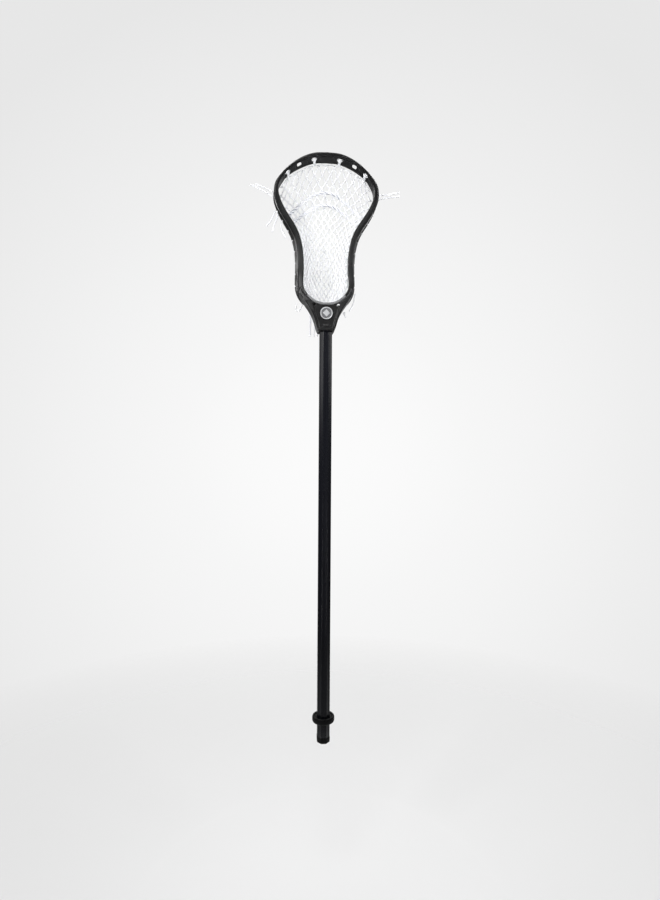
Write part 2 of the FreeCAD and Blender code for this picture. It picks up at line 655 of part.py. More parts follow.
def pad_solid(n0, n1, y0, y1, reach):
    s = loft_along(spaced(0.0, reach, 9.0), pad_points(n0, n1, y0, y1))
    return s.fuse(mirrored(s)).removeSplitter()


foam = pad_solid(0.0, PT, 0.6, 8.5, 36.0)
foam_room = pad_solid(-1.5, PT + 0.1, -4.0, 8.4, 36.4)
head = head.cut(foam_room)
head = head.removeSplitter()
if len(head.Solids) != 1:
    raise RuntimeError("head frame has %d solids" % len(head.Solids))
feature_from("head_frame", head.Solids[0])
feature_from("ball_stop_pad", foam.Solids[0])


# ------------------------------------------------------------------ pocket mesh as one closed shell
def inner_half_width(z, y, gap):
    """Half width between the walls at height z and depth y, less a gap, on the right side."""
    if z < 0:
        raise ValueError
    ts = [LOOP * i / 400.0 for i in range(401)]
    pts = [on_rail(t, -gap, y) for t in ts]
    xs = []
    for a, b in zip(pts[:-1], pts[1:]):
        if (a.z - z) * (b.z - z) <= 0 and a.z != b.z:
            u = (z - a.z) / (b.z - a.z)
            xs.append(a.x + u * (b.x - a.x))
    return max(xs) if xs else 0.0


def rail_back(z):
    """Depth of the back rail's rear face at height z."""
    best = min(range(0, 401), key=lambda i: abs(row_at(LOOP * i / 400.0)[1] - z))
    return row_at(LOOP * best / 400.0)[3]


SAG = dim("pocket_sag")
MT = dim("mesh_thick")
LEVELS = [765.5, 770.0, 780.0, 793.0, 808.0, 826.0, 845.0, 864.0, 883.0, 902.0, 920.0, 938.0, 955.0, 970.0, 982.0, 991.0, 998.0, 1001.6]
SAGS = [9.0, 13.0, 19.0, 26.0, 31.5, 35.0, 36.0, 35.8, 35.0, 34.0, 33.0, 31.0, 28.0, 23.5, 18.0, 12.5, 7.5, 4.0]


def crescent(z, sag):
    yb = rail_back(z) - 7.0
    w = inner_half_width(z, yb, 4.4)
    n = 9
    front, back = [], []
    for i in range(n):
        u = -1 + 2.0 * i / (n - 1)
        depth = sag * (SAG / 36.0) * (1 - abs(u) ** 2.4)
        x = u * w
        # unit normal of the trough curve, so the shell keeps its thickness
        slope = -sag * 2.4 * abs(u) ** 1.4 * (1 if u > 0 else -1) / w
        k = math.hypot(1, slope)
        front.append(Vector(x, yb + depth, z))
        shrink = 1.0 if 0 < i < n - 1 else 0.35
        back.append(Vector(x - shrink * slope * MT / k, yb + depth + MT / k if 0 < i < n - 1 else yb + depth + MT, z))
    a = Part.BSplineCurve()
    a.interpolate(front)
    b = Part.BSplineCurve()
    b.interpolate(back)
    edges = [a.toShape(), Part.LineSegment(front[-1], back[-1]).toShape(),
             b.toShape(), Part.LineSegment(back[0], front[0]).toShape()]
    return Part.Wire(Part.__sortEdges__(edges))


mesh = Part.makeLoft([crescent(z, s) for z, s in zip(LEVELS, SAGS)], True, False)
feature_from("mesh_pocket", mesh)


def pocket_y(x, z, gap):
    """Depth of a point in front of the mesh at X and Z, gap clear of it."""
    k = 0
    while k < len(LEVELS) - 2 and LEVELS[k + 1] < z:
        k += 1
    u = (z - LEVELS[k]) / (LEVELS[k + 1] - LEVELS[k])
    sag = SAGS[k] + (SAGS[k + 1] - SAGS[k]) * u
    yb = rail_back(z) - 7.0
    w = inner_half_width(z, yb, 4.4)
    q = min(1.0, abs(x) / w)
    return yb + sag * (SAG / 36.0) * (1 - q ** 2.4) - gap


# ------------------------------------------------------------------ cords
def rounded_path(points, factor=0.45, cap=None, label=""):
    """Straight runs joined by tangent arcs as large as the two runs allow."""
    pts = [Vector(p) for p in points]
    edges = []
    last = pts[0]
    radii = []
    for i in range(1, len(pts) - 1):
        a, b, c = pts[i - 1], pts[i], pts[i + 1]
        u, v = a - b, c - b
        la, lc = u.Length, v.Length
        u.normalize()
        v.normalize()
        turn = math.pi - u.getAngle(v)
        if turn < math.radians(0.8):
            continue
        setback = factor * min(la, lc)
        radius = setback / math.tan(turn / 2)
        if cap and radius > cap:
            radius = cap
            setback = radius * math.tan(turn / 2)
        p, q = b + u * setback, b + v * setback
        bis = u + v
        bis.normalize()
        mid = b + bis * (radius / math.cos(turn / 2) - radius)
        if (p - last).Length > 1e-6:
            edges.append(Part.LineSegment(last, p).toShape())
        edges.append(Part.Arc(p, mid, q).toShape())
        radii.append(radius)
        last = q
    edges.append(Part.LineSegment(last, pts[-1]).toShape())
    wire = Part.Wire(edges)
    if label:
        print("%s: length %.1f, radii %s" % (label, wire.Length, " ".join("%.1f" % r for r in radii)))
    return wire


def tube(points, dia, label, factor=0.45, cap=None):
    wire = rounded_path(points, factor, cap, label)
    start = wire.Edges[0].Vertexes[0].Point if (wire.Edges[0].Vertexes[0].Point - Vector(points[0])).Length < 1e-6 else Vector(points[0])
    direction = Vector(points[1]) - Vector(points[0])
    profile = Part.Wire(Part.makeCircle(dia / 2, start, direction))
    solid = wire.makePipeShell([profile], True, False)
    want = math.pi * dia * dia / 4 * wire.Length
    if not solid.isValid() or solid.Volume < 0.9 * want or solid.Volume > 1.1 * want:
        raise RuntimeError("%s: volume %.1f, section times length %.1f, valid %s" % (label, solid.Volume, want, solid.isValid()))
    return solid


SD = dim("string_dia")


def lacing(holes, depth, side, n_in, clear, end_low, end_high, label):
    """A string along the wall's inner face that goes out of each hole and back round the edge."""
    pts = []
    for k, t in enumerate(holes):
        row = row_at(t)
        yh = row[3] - depth
        yb = row[3] + clear
        n_out = row[5] + clear
        pts.append(on_rail(t - 0.6, n_in, yh, side))
        pts.append(on_rail(t, n_out, yh, side))
        pts.append(on_rail(t + 0.8, n_out, yb, side))
        pts.append(on_rail(t + 1.6, n_in, yb, side))
        if k + 1 < len(holes):
            gap = holes[k + 1] - t
            steps = max(2, int(round(gap / 11.0)))
            for i in range(1, steps):
                u = i / float(steps)
                tm = t + 1.6 + (gap - 2.2) * u
                rm = row_at(tm)
                pts.append(on_rail(tm, n_in - 0.25 * (i % 2), rm[3] + clear + (-depth - clear) * (u ** 1.5), side))
    first, last = holes[0], holes[-1]
    if end_low is not None:
        pts.insert(0, on_rail(first - 6.0, n_in, row_at(first - 6.0)[3] - depth + 1.0, side))
    if end_high is not None:
        pts.append(on_rail(last + 6.5, n_in - 0.3, row_at(last + 6.5)[3] - 1.0, side))
    return tube(pts, SD, label, 0.42, 3.2)


feature_from("sidewall_string_right", lacing(SIDE_HOLES, 5.0, 1, -2.2, 2.1, 1, 1, "sidewall_string_right"))
feature_from("sidewall_string_left", lacing(SIDE_HOLES, 5.0, -1, -2.2, 2.1, 1, 1, "sidewall_string_left"))


def on_scoop(s, n, y):
    """Like on_rail, with s the signed distance along the scoop from its middle."""
    return on_rail(LOOP - abs(s), n, y, 1 if s >= 0 else -1)


def on_stop(s, n, y):
    """Like on_rail, with s the signed distance along the ball stop from its middle."""
    return on_rail(abs(s), n, y, 1 if s >= 0 else -1)


def back_of(t):
    return row_at(t)[3]


# top string: forward along the scoop's inner face, out of the hole, back over the rear edge
pts = []
stops = [-(LOOP - SCOOP_HOLES[0]), -(LOOP - SCOOP_HOLES[2]), LOOP - SCOOP_HOLES[2], LOOP - SCOOP_HOLES[0]]
s0 = stops[0]
pts.append(on_scoop(s0 - 15.0, -1.6, back_of(LOOP - abs(s0 - 15.0)) + 1.9))
pts.append(on_scoop(s0 - 7.0, -1.6, back_of(LOOP - abs(s0 - 7.0)) + 1.9))
for k, s0 in enumerate(stops):
    t = LOOP - abs(s0)
    yb = back_of(t) + 1.9
    yi = row_at(t)[2] + SCOOP_IN
    n_out = row_at(t)[5] + 1.9
    pts += [on_scoop(s0 - 1.4, -1.7, yb), on_scoop(s0 - 1.2, -1.7, (yb + yi) / 2 + 1.0), on_scoop(s0 - 0.6, -1.5, yi - 0.4),
            on_scoop(s0 + 0.2, n_out, yi + 10.2), on_scoop(s0 + 0.8, n_out, yb),
            on_scoop(s0 + 2.4, -0.9, yb + 0.5)]
    if k + 1 < len(stops):
        gap = stops[k + 1] - s0
        steps = max(2, int(round(gap / 11.0)))
        for i in range(1, steps):
            s = s0 + 2.4 + (gap - 3.8) * i / float(steps)
            pts.append(on_scoop(s, -0.9 - 0.4 * (i % 2), back_of(LOOP - abs(s)) + 2.2 + 0.2 * (i % 2)))
s0 = stops[-1]
pts.append(on_scoop(s0 + 9.0, -1.2, back_of(LOOP - abs(s0 + 9.0)) + 2.0))
pts.append(on_scoop(s0 + 16.0, -1.6, back_of(LOOP - abs(s0 + 16.0)) + 1.9))
feature_from("top_string", tube(pts, SD, "top_string", 0.42, 3.2))

# bottom string: the same way round the rear rim of the ball stop
pts = []
stops = [-BOTTOM_HOLES[1], -BOTTOM_HOLES[0], BOTTOM_HOLES[0], BOTTOM_HOLES[1]]
s0 = stops[0]
pts.append(on_stop(s0 - 9.0, -1.6, back_of(abs(s0 - 9.0)) + 1.9))
for k, s0 in enumerate(stops):
    t = abs(s0)
    yb = back_of(t) + 2.2
    yh = back_of(t) - 3.9
    n_out = row_at(t)[5] + 1.9
    pts += [on_stop(s0 - 0.9, -2.2, yb), on_stop(s0 - 0.2, -2.2, yh), on_stop(s0, n_out + 0.6, yh),
            on_stop(s0 + 0.9, n_out + 0.6, yb + 0.4), on_stop(s0 + 2.6, -1.2, yb + 0.6)]
    if k + 1 < len(stops):
        s = s0 + 2.2 + (stops[k + 1] - s0 - 3.6) * 0.5
        pts.append(on_stop(s, -1.2, back_of(abs(s)) + 2.6))
s0 = stops[-1]
pts.append(on_stop(s0 + 9.0, -1.6, back_of(abs(s0 + 9.0)) + 1.9))
feature_from("bottom_string", tube(pts, SD, "bottom_string", 0.42, 3.2))

# rolled shooting laces across the front of the mesh, arched towards the scoop
LD = dim("lace_dia")


def lace(z_mid, drop, at_x, power, label):
    def height(x):
        return z_mid - drop * (abs(x) / at_x) ** power
    x = 30.0
    while x < 90.0:
        z = height(x)
        if x > inner_half_width(z, rail_back(z) - 7.0, 4.4) - LD / 2 - 1.2:
            break
        x += 0.25
    xs = [x * math.sin(math.pi / 2 * k / 6.0) * (0.42 + 0.58 * (k / 6.0)) for k in range(1, 7)]
    xs = [-v for v in reversed(xs)] + xs
    pts = [Vector(v, pocket_y(v, height(v), LD / 2 + 2.1), height(v)) for v in xs]
    print(label, "ends at", [round(q, 1) for q in pts[-1]])
    return tube(pts, LD, label)


feature_from("shooting_lace_upper", lace(975.0, 49.0, 64.0, 1.9, "shooting_lace_upper"))
feature_from("shooting_lace_lower", lace(957.0, 30.0, 46.0, 2.1, "shooting_lace_lower"))

# free ends of the lacing, each a plain tube on its own route
TD = dim("tail_dia")
ROUTES = {
    "lace_end_upper_left_a": [(-94.4, 23.0, 953.6), (-102.5, 22.6, 959.4), (-112.0, 21.6, 963.0), (-122.5, 19.6, 967.6), (-133.3, 17.2, 970.8)],
    "lace_end_upper_left_b": [(-94.2, 21.5, 961.6), (-100.2, 23.6, 966.6), (-107.6, 25.2, 970.2), (-116.2, 25.4, 972.6), (-124.6, 24.2, 976.0)],
    "lace_end_upper_right_a": [(94.4, 23.0, 955.0), (102.0, 22.4, 958.4), (111.5, 21.2, 959.4), (122.0, 20.0, 960.9), (132.6, 18.2, 961.6)],
    "lace_end_upper_right_b": [(94.0, 21.5, 962.6), (101.6, 23.4, 965.0), (110.6, 25.0, 966.3), (121.6, 25.0, 969.2), (132.8, 24.0, 971.4)],
    "lace_end_lower_left_a": [(-88.6, 24.6, 929.6), (-93.6, 27.6, 920.6), (-98.0, 28.0, 911.6), (-104.8, 27.0, 902.6)],
    "lace_end_lower_left_b": [(-84.2, 21.0, 922.6), (-87.6, 23.6, 912.6), (-91.8, 24.4, 903.4), (-93.8, 23.0, 892.0)],
    "string_end_left": [(-78.0, 26.2, 911.0), (-80.0, 25.4, 902.2), (-75.4, 23.4, 891.6), (-71.0, 21.0, 881.6)],
    "flat_lace_end": [(-24.4, 36.4, 766.6), (-25.4, 35.6, 750.0), (-25.4, 31.6, 730.4), (-26.2, 28.4, 709.2)],
    "string_end_bottom_a": [(-13.4, 34.0, 758.0), (-15.8, 31.0, 743.4), (-18.4, 27.4, 726.0), (-19.2, 26.2, 708.0)],
    "string_end_bottom_b": [(-8.0, 34.4, 758.4), (-10.6, 31.6, 743.0), (-13.8, 27.4, 725.6), (-12.8, 27.6, 708.6)],
    "string_loop_left": [(-40.4, 36.6, 770.6), (-41.8, 35.0, 760.4), (-47.6, 33.6, 753.6), (-53.0, 32.4, 759.2), (-50.6, 31.4, 768.2)],
    "string_end_right": [(54.6, 30.6, 788.0), (53.8, 30.4, 777.0), (50.0, 29.8, 766.2), (44.4, 29.4, 756.0)],
}
for name, route in ROUTES.items():
    dia = dim("flat_lace") * 0.6 if name == "flat_lace_end" else TD
    feature_from(name, tube(route, dia, name))

# knot of the bottom string below the right shoulder
knot = Part.makeSphere(2.7, Vector(34.6, 25.5, 751.2)).fuse(
    Part.makeCylinder(1.2, 9.0, Vector(34.6, 25.5, 751.2), Vector(0.35, -0.1, -1.0)))
feature_from("string_knot_right", knot.removeSplitter())

doc.recompute()

# ------------------------------------------------------------------ write
KEEP = []
for obj in doc.Objects:
    if "Invalid" in obj.State or "Error" in obj.State:
        raise RuntimeError("%s: %s" % (obj.Label, obj.State))
for obj in doc.Objects:
    top = obj.TypeId == "PartDesign::Body" or obj.TypeId == "Part::Feature"
    if not top:
        continue
    if obj.Shape.isNull() or not obj.Shape.isValid():
        raise RuntimeError("%s has no valid shape" % obj.Label)
    KEEP.append(obj)
os.makedirs("parts", exist_ok=True)
for old in os.listdir("parts"):
    if old.endswith(".step"):
        os.remove(os.path.join("parts", old))
for obj in KEEP:
    obj.Shape.exportStep("parts/%s.step" % obj.Label)
    print("%-26s solids %d volume %.1f" % (obj.Label, len(obj.Shape.Solids), obj.Shape.Volume))
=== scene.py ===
import bpy, bmesh, math, random
import numpy as np
from mathutils import Vector, Matrix


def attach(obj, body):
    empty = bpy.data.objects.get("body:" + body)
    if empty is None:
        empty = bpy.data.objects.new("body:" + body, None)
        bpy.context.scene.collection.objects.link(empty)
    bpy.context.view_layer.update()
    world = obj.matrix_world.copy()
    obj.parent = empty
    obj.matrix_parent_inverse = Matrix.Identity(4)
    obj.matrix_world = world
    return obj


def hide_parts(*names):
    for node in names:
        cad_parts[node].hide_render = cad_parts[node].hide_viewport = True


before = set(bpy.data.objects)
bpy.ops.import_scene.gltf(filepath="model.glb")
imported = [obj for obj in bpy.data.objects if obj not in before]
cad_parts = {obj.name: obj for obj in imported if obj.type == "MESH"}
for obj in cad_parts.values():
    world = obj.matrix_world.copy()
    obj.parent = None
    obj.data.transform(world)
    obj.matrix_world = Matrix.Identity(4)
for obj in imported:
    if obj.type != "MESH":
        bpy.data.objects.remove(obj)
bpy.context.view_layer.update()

MM = 0.001
scene = bpy.context.scene
random.seed(7)

# =============================================================== camera and stage
YAW = math.radians(-4.5)
ROLL = math.radians(0.365)
DIST = 0.942
cam_data = bpy.data.cameras.new("camera")
cam = bpy.data.objects.new("camera", cam_data)
scene.collection.objects.link(cam)
cam_data.sensor_fit = "AUTO"
cam_data.sensor_width = 36.0
cam_data.lens = 36.0 * 541.0 / 900.0
cam_data.clip_start = 0.05
cam_data.clip_end = 30.0
right = Vector((math.cos(YAW), math.sin(YAW), 0.0))
away = Vector((-math.sin(YAW), math.cos(YAW), 0.0))
up = Vector((0, 0, 1))
# the stick's axis passes 8 mm left of the picture's middle at the camera's height
centre = Vector((0, 0, 0.506)) + right * 0.0088
eye = centre - away * DIST
r2 = (right * math.cos(ROLL) + up * math.sin(ROLL)).normalized()
u2 = (up * math.cos(ROLL) - right * math.sin(ROLL)).normalized()
m = Matrix((( r2.x, u2.x, -away.x, eye.x),
            ( r2.y, u2.y, -away.y, eye.y),
            ( r2.z, u2.z, -away.z, eye.z),
            (0, 0, 0, 1)))
cam.matrix_world = m
scene.camera = cam


def new_object(name, mesh):
    o = bpy.data.objects.new(name, mesh)
    scene.collection.objects.link(o)
    return o


def mesh_from(name, verts, faces, smooth=True):
    me = bpy.data.meshes.new(name)
    me.from_pydata([tuple(v) for v in verts], [], [tuple(f) for f in faces])
    me.validate()
    me.update()
    if smooth:
        me.polygons.foreach_set("use_smooth", [True] * len(me.polygons))
    return new_object(name, me)


# --------------------------------------------------------------- materials
def principled(name, color, rough, spec=0.5, metallic=0.0):
    mat = bpy.data.materials.new(name)
    mat.use_nodes = True
    nt = mat.node_tree
    b = nt.nodes["Principled BSDF"]
    b.inputs["Base Color"].default_value = (*color, 1.0)
    b.inputs["Roughness"].default_value = rough
    b.inputs["Metallic"].default_value = metallic
    b.inputs["Specular IOR Level"].default_value = spec
    return mat, nt, b


def texcoord(nt, scale=(1, 1, 1), space="Object"):
    tc = nt.nodes.new("ShaderNodeTexCoord")
    mp = nt.nodes.new("ShaderNodeMapping")
    mp.inputs["Scale"].default_value = scale
    nt.links.new(tc.outputs[space], mp.inputs["Vector"])
    return mp.outputs["Vector"]


def noise(nt, vec, scale, detail=3.0, rough=0.55):
    n = nt.nodes.new("ShaderNodeTexNoise")
    n.inputs["Scale"].default_value = scale
    n.inputs["Detail"].default_value = detail
    n.inputs["Roughness"].default_value = rough
    nt.links.new(vec, n.inputs["Vector"])
    return n.outputs["Fac"]


def ramp(nt, fac, stops):
    r = nt.nodes.new("ShaderNodeValToRGB")
    el = r.color_ramp.elements
    while len(el) > 1:
        el.remove(el[-1])
    el[0].position = stops[0][0]
    el[0].color = (*stops[0][1], 1.0)
    for p, c in stops[1:]:
        e = el.new(p)
        e.color = (*c, 1.0)
    nt.links.new(fac, r.inputs["Fac"])
    return r.outputs["Color"]


def maprange(nt, fac, a, b, c, d):
    mr = nt.nodes.new("ShaderNodeMapRange")
    mr.inputs["From Min"].default_value = a
    mr.inputs["From Max"].default_value = b
    mr.inputs["To Min"].default_value = c
    mr.inputs["To Max"].default_value = d
    nt.links.new(fac, mr.inputs["Value"])
    return mr.outputs["Result"]


def mathn(nt, op, a, b=None):
    n = nt.nodes.new("ShaderNodeMath")
    n.operation = op
    for i, v in enumerate((a, b)):
        if v is None:
            continue
        if isinstance(v, (int, float)):
            n.inputs[i].default_value = v
        else:
            nt.links.new(v, n.inputs[i])
    return n.outputs["Value"]


def bump(nt, height, strength, distance, bsdf, chain=None):
    bn = nt.nodes.new("ShaderNodeBump")
    bn.inputs["Strength"].default_value = strength
    bn.inputs["Distance"].default_value = distance
    nt.links.new(height, bn.inputs["Height"])
    if chain is not None:
        nt.links.new(chain, bn.inputs["Normal"])
    nt.links.new(bn.outputs["Normal"], bsdf.inputs["Normal"])
    return bn.outputs["Normal"]


def mix_color(nt, fac, a, b, kind="MIX"):
    mx = nt.nodes.new("ShaderNodeMix")
    mx.data_type = "RGBA"
    mx.blend_type = kind
    for sock, v in ((0, fac), (6, a), (7, b)):
        if isinstance(v, (int, float)):
            mx.inputs[sock].default_value = v
        elif isinstance(v, tuple):
            mx.inputs[sock].default_value = (*v, 1.0)
        else:
            nt.links.new(v, mx.inputs[sock])
    return mx.outputs[2]


def nylon_material():
    """Moulded black nylon: fine stipple, faint flow variation, paler worn edges."""
    mat, nt, b = principled("moulded_nylon", (0.008, 0.008, 0.0085), 0.36, 0.20)
    v = texcoord(nt)
    flow = noise(nt, v, 38.0, 4.0)
    col = ramp(nt, flow, [(0.3, (0.0045, 0.0045, 0.0047)), (0.7, (0.0080, 0.0080, 0.0083))])
    geo = nt.nodes.new("ShaderNodeNewGeometry")
    edge = maprange(nt, geo.outputs["Pointiness"], 0.52, 0.60, 0.0, 1.0)
    wear = mathn(nt, "MULTIPLY", edge, maprange(nt, noise(nt, v, 260.0, 2.0), 0.40, 0.75, 0.0, 0.55))
    col = mix_color(nt, wear, col, (0.030, 0.030, 0.031))
    nt.links.new(col, b.inputs["Base Color"])
    rough = maprange(nt, flow, 0.3, 0.7, 0.27, 0.36)
    nt.links.new(rough, b.inputs["Roughness"])
    # the scoop's inner wall is more matte than the rest
    where = nt.nodes.new("ShaderNodeSeparateXYZ")
    nt.links.new(v, where.inputs["Vector"])
    facing = nt.nodes.new("ShaderNodeSeparateXYZ")
    nt.links.new(texcoord(nt, (1, 1, 1), "Normal"), facing.inputs["Vector"])
    outward = mathn(nt, "MULTIPLY", facing.outputs["X"], mathn(nt, "MULTIPLY", where.outputs["X"], 14.0))
    high = maprange(nt, where.outputs["Z"], 0.925, 0.965, 0.0, 1.0)
    gloss = maprange(nt, outward, -0.5, 0.2, -0.16, 0.0)
    nt.links.new(mathn(nt, "ADD", mathn(nt, "MULTIPLY", gloss, high), 0.20), b.inputs["Specular IOR Level"])
    grain = noise(nt, v, 2600.0, 2.0)
    ripple = noise(nt, v, 150.0, 2.0)
    n1 = bump(nt, grain, 0.10, 0.00015, b)
    bump(nt, ripple, 0.06, 0.0006, b, n1)
    return mat


def tube_material():
    """Black anodised aluminium: satin, faint drawing lines along the tube, a touch of blue."""
    mat, nt, b = principled("anodised_tube", (0.006, 0.0062, 0.008), 0.28, 0.22, 0.0)
    v = texcoord(nt, (1.0, 1.0, 0.012))
    lines = noise(nt, v, 900.0, 3.0, 0.6)
    v2 = texcoord(nt)
    cloud = noise(nt, v2, 9.0, 3.0)
    col = ramp(nt, cloud, [(0.3, (0.0038, 0.0040, 0.0058)), (0.7, (0.0060, 0.0063, 0.0088))])
    geo = nt.nodes.new("ShaderNodeNewGeometry")
    edge = maprange(nt, geo.outputs["Pointiness"], 0.505, 0.55, 0.0, 1.0)
    scuff = mathn(nt, "MULTIPLY", edge, maprange(nt, noise(nt, v2, 300.0, 3.0), 0.5, 0.8, 0.0, 0.5))
    col = mix_color(nt, scuff, col, (0.030, 0.031, 0.036))
    nt.links.new(col, b.inputs["Base Color"])
    nt.links.new(maprange(nt, lines, 0.3, 0.7, 0.22, 0.31), b.inputs["Roughness"])
    bump(nt, lines, 0.05, 0.0001, b)
    return mat


def rubber_material():
    mat, nt, b = principled("black_rubber", (0.006, 0.006, 0.0063), 0.5, 0.10)
    v = texcoord(nt)
    cloud = noise(nt, v, 120.0, 4.0)
    col = ramp(nt, cloud, [(0.3, (0.0035, 0.0035, 0.0037)), (0.72, (0.0070, 0.0070, 0.0073))])
    geo = nt.nodes.new("ShaderNodeNewGeometry")
    edge = maprange(nt, geo.outputs["Pointiness"], 0.51, 0.56, 0.0, 1.0)
    col = mix_color(nt, mathn(nt, "MULTIPLY", edge, 0.6), col, (0.020, 0.020, 0.021))
    nt.links.new(col, b.inputs["Base Color"])
    nt.links.new(maprange(nt, cloud, 0.3, 0.7, 0.40, 0.54), b.inputs["Roughness"])
    grain = noise(nt, v, 3200.0, 2.0)
    bump(nt, grain, 0.16, 0.00018, b)
    return mat


def cord_material(name, base, shade, scale=1.0, twist=900.0, hollow_shade=(0.80, 0.84, 0.92), painted_glow=0.0):
    """Braided white nylon: crossing plait bumps, off-white, with painted cool shade in the hollows of the plait and an
    optional painted glow.
    """
    mat, nt, b = principled(name, base, 0.62, 0.35)
    v = texcoord(nt)
    cloud = noise(nt, v, 70.0, 3.0)
    col = ramp(nt, cloud, [(0.25, shade), (0.7, base)])
    w1 = nt.nodes.new("ShaderNodeTexWave")
    w1.wave_type = "BANDS"
    w1.bands_direction = "DIAGONAL"
    w1.inputs["Scale"].default_value = twist
    w1.inputs["Distortion"].default_value = 0.6
    nt.links.new(v, w1.inputs["Vector"])
    vm = texcoord(nt, (-1, 1, -1))
    w2 = nt.nodes.new("ShaderNodeTexWave")
    w2.wave_type = "BANDS"
    w2.bands_direction = "DIAGONAL"
    w2.inputs["Scale"].default_value = twist
    w2.inputs["Distortion"].default_value = 0.6
    nt.links.new(vm, w2.inputs["Vector"])
    plait = mathn(nt, "MAXIMUM", w1.outputs["Fac"], w2.outputs["Fac"])
    # painted shade: the hollows of the plait are mixed toward a darker, cooler colour, standing in for the shadow
    # between the crossing strands
    col = mix_color(nt, maprange(nt, plait, 0.5, 1.0, 0.35, 0.0), col, hollow_shade)
    nt.links.new(col, b.inputs["Base Color"])
    b.inputs["Sheen Weight"].default_value = 0.25
    # painted glow: a small even emission lifts the white cord where the lamps leave it in shade; the cord is no lamp
    b.inputs["Emission Color"].default_value = (1.0, 1.0, 1.0, 1.0)
    b.inputs["Emission Strength"].default_value = painted_glow
    bump(nt, plait, 0.28, 0.00035 * scale, b)
    return mat


MAT_NYLON = nylon_material()
MAT_TUBE = tube_material()
MAT_RUBBER = rubber_material()
# in each call the last colour is the painted shade for the plait's hollows, and the number after it, where given, is
# the painted glow
MAT_MESH = cord_material("mesh_nylon", (0.58, 0.585, 0.60), (0.53, 0.54, 0.56), 0.5, 420.0, (0.50, 0.52, 0.56), 0.18)
MAT_STRING = cord_material("string_nylon", (0.60, 0.605, 0.615), (0.54, 0.55, 0.57), 0.6, 520.0, (0.50, 0.52, 0.57), 0.17)
MAT_LACE = cord_material("lace_weave", (0.56, 0.565, 0.585), (0.50, 0.51, 0.54), 0.8, 330.0, (0.45, 0.47, 0.54), 0.17)
MAT_TRACER = cord_material("lace_tracer", (0.27, 0.285, 0.33), (0.20, 0.215, 0.26), 0.6, 700.0, (0.36, 0.38, 0.43))


def foam_material():
    mat, nt, b = principled("stop_foam", (0.12, 0.122, 0.125), 0.8, 0.2)
    v = texcoord(nt)
    vor = nt.nodes.new("ShaderNodeTexVoronoi")
    vor.inputs["Scale"].default_value = 1500.0
    nt.links.new(v, vor.inputs["Vector"])
    cloud = noise(nt, v, 60.0, 4.0)
    nt.links.new(ramp(nt, cloud, [(0.3, (0.10, 0.102, 0.105)), (0.7, (0.15, 0.153, 0.157))]), b.inputs["Base Color"])
    bump(nt, vor.outputs["Distance"], 0.4, 0.0002, b)
    return mat


def badge_material():
    mat, nt, b = principled("badge_print", (0.5, 0.51, 0.53), 0.35, 0.5, 0.55)
    v = texcoord(nt)
    # the sunk field is darker than the raised ring and diamond: shade follows depth in Y
    sep = nt.nodes.new("ShaderNodeSeparateXYZ")
    nt.links.new(v, sep.inputs["Vector"])
    depth = maprange(nt, sep.outputs["Y"], -0.01700, -0.01672, 0.0, 1.0)
    brushed = noise(nt, texcoord(nt, (1.0, 1.0, 14.0)), 700.0, 3.0)
    pale = ramp(nt, brushed, [(0.3, (0.36, 0.365, 0.38)), (0.7, (0.46, 0.465, 0.48))])
    dark = ramp(nt, brushed, [(0.3, (0.10, 0.102, 0.106)), (0.7, (0.15, 0.153, 0.158))])
    nt.links.new(mix_color(nt, depth, pale, dark), b.inputs["Base Color"])
    nt.links.new(maprange(nt, brushed, 0.3, 0.7, 0.28, 0.42), b.inputs["Roughness"])
    bump(nt, brushed, 0.05, 0.0001, b)
    return mat


def screw_material():
    mat, nt, b = principled("black_zinc", (0.06, 0.06, 0.065), 0.38, 0.5, 0.8)
    v = texcoord(nt)
    cloud = noise(nt, v, 900.0, 3.0)
    nt.links.new(ramp(nt, cloud, [(0.3, (0.045, 0.045, 0.05)), (0.7, (0.10, 0.10, 0.11))]), b.inputs["Base Color"])
    nt.links.new(maprange(nt, cloud, 0.3, 0.7, 0.30, 0.48), b.inputs["Roughness"])
    bump(nt, cloud, 0.08, 0.0001, b)
    return mat


MAT_FOAM = foam_material()
MAT_BADGE = badge_material()
MAT_SCREW = screw_material()


def set_material(o, mat):
    if o.type == "MESH":
        o.data.materials.clear()
        o.data.materials.append(mat)
        for p in o.data.polygons:
            p.material_index = 0
    else:
        o.data.materials.clear()
        o.data.materials.append(mat)


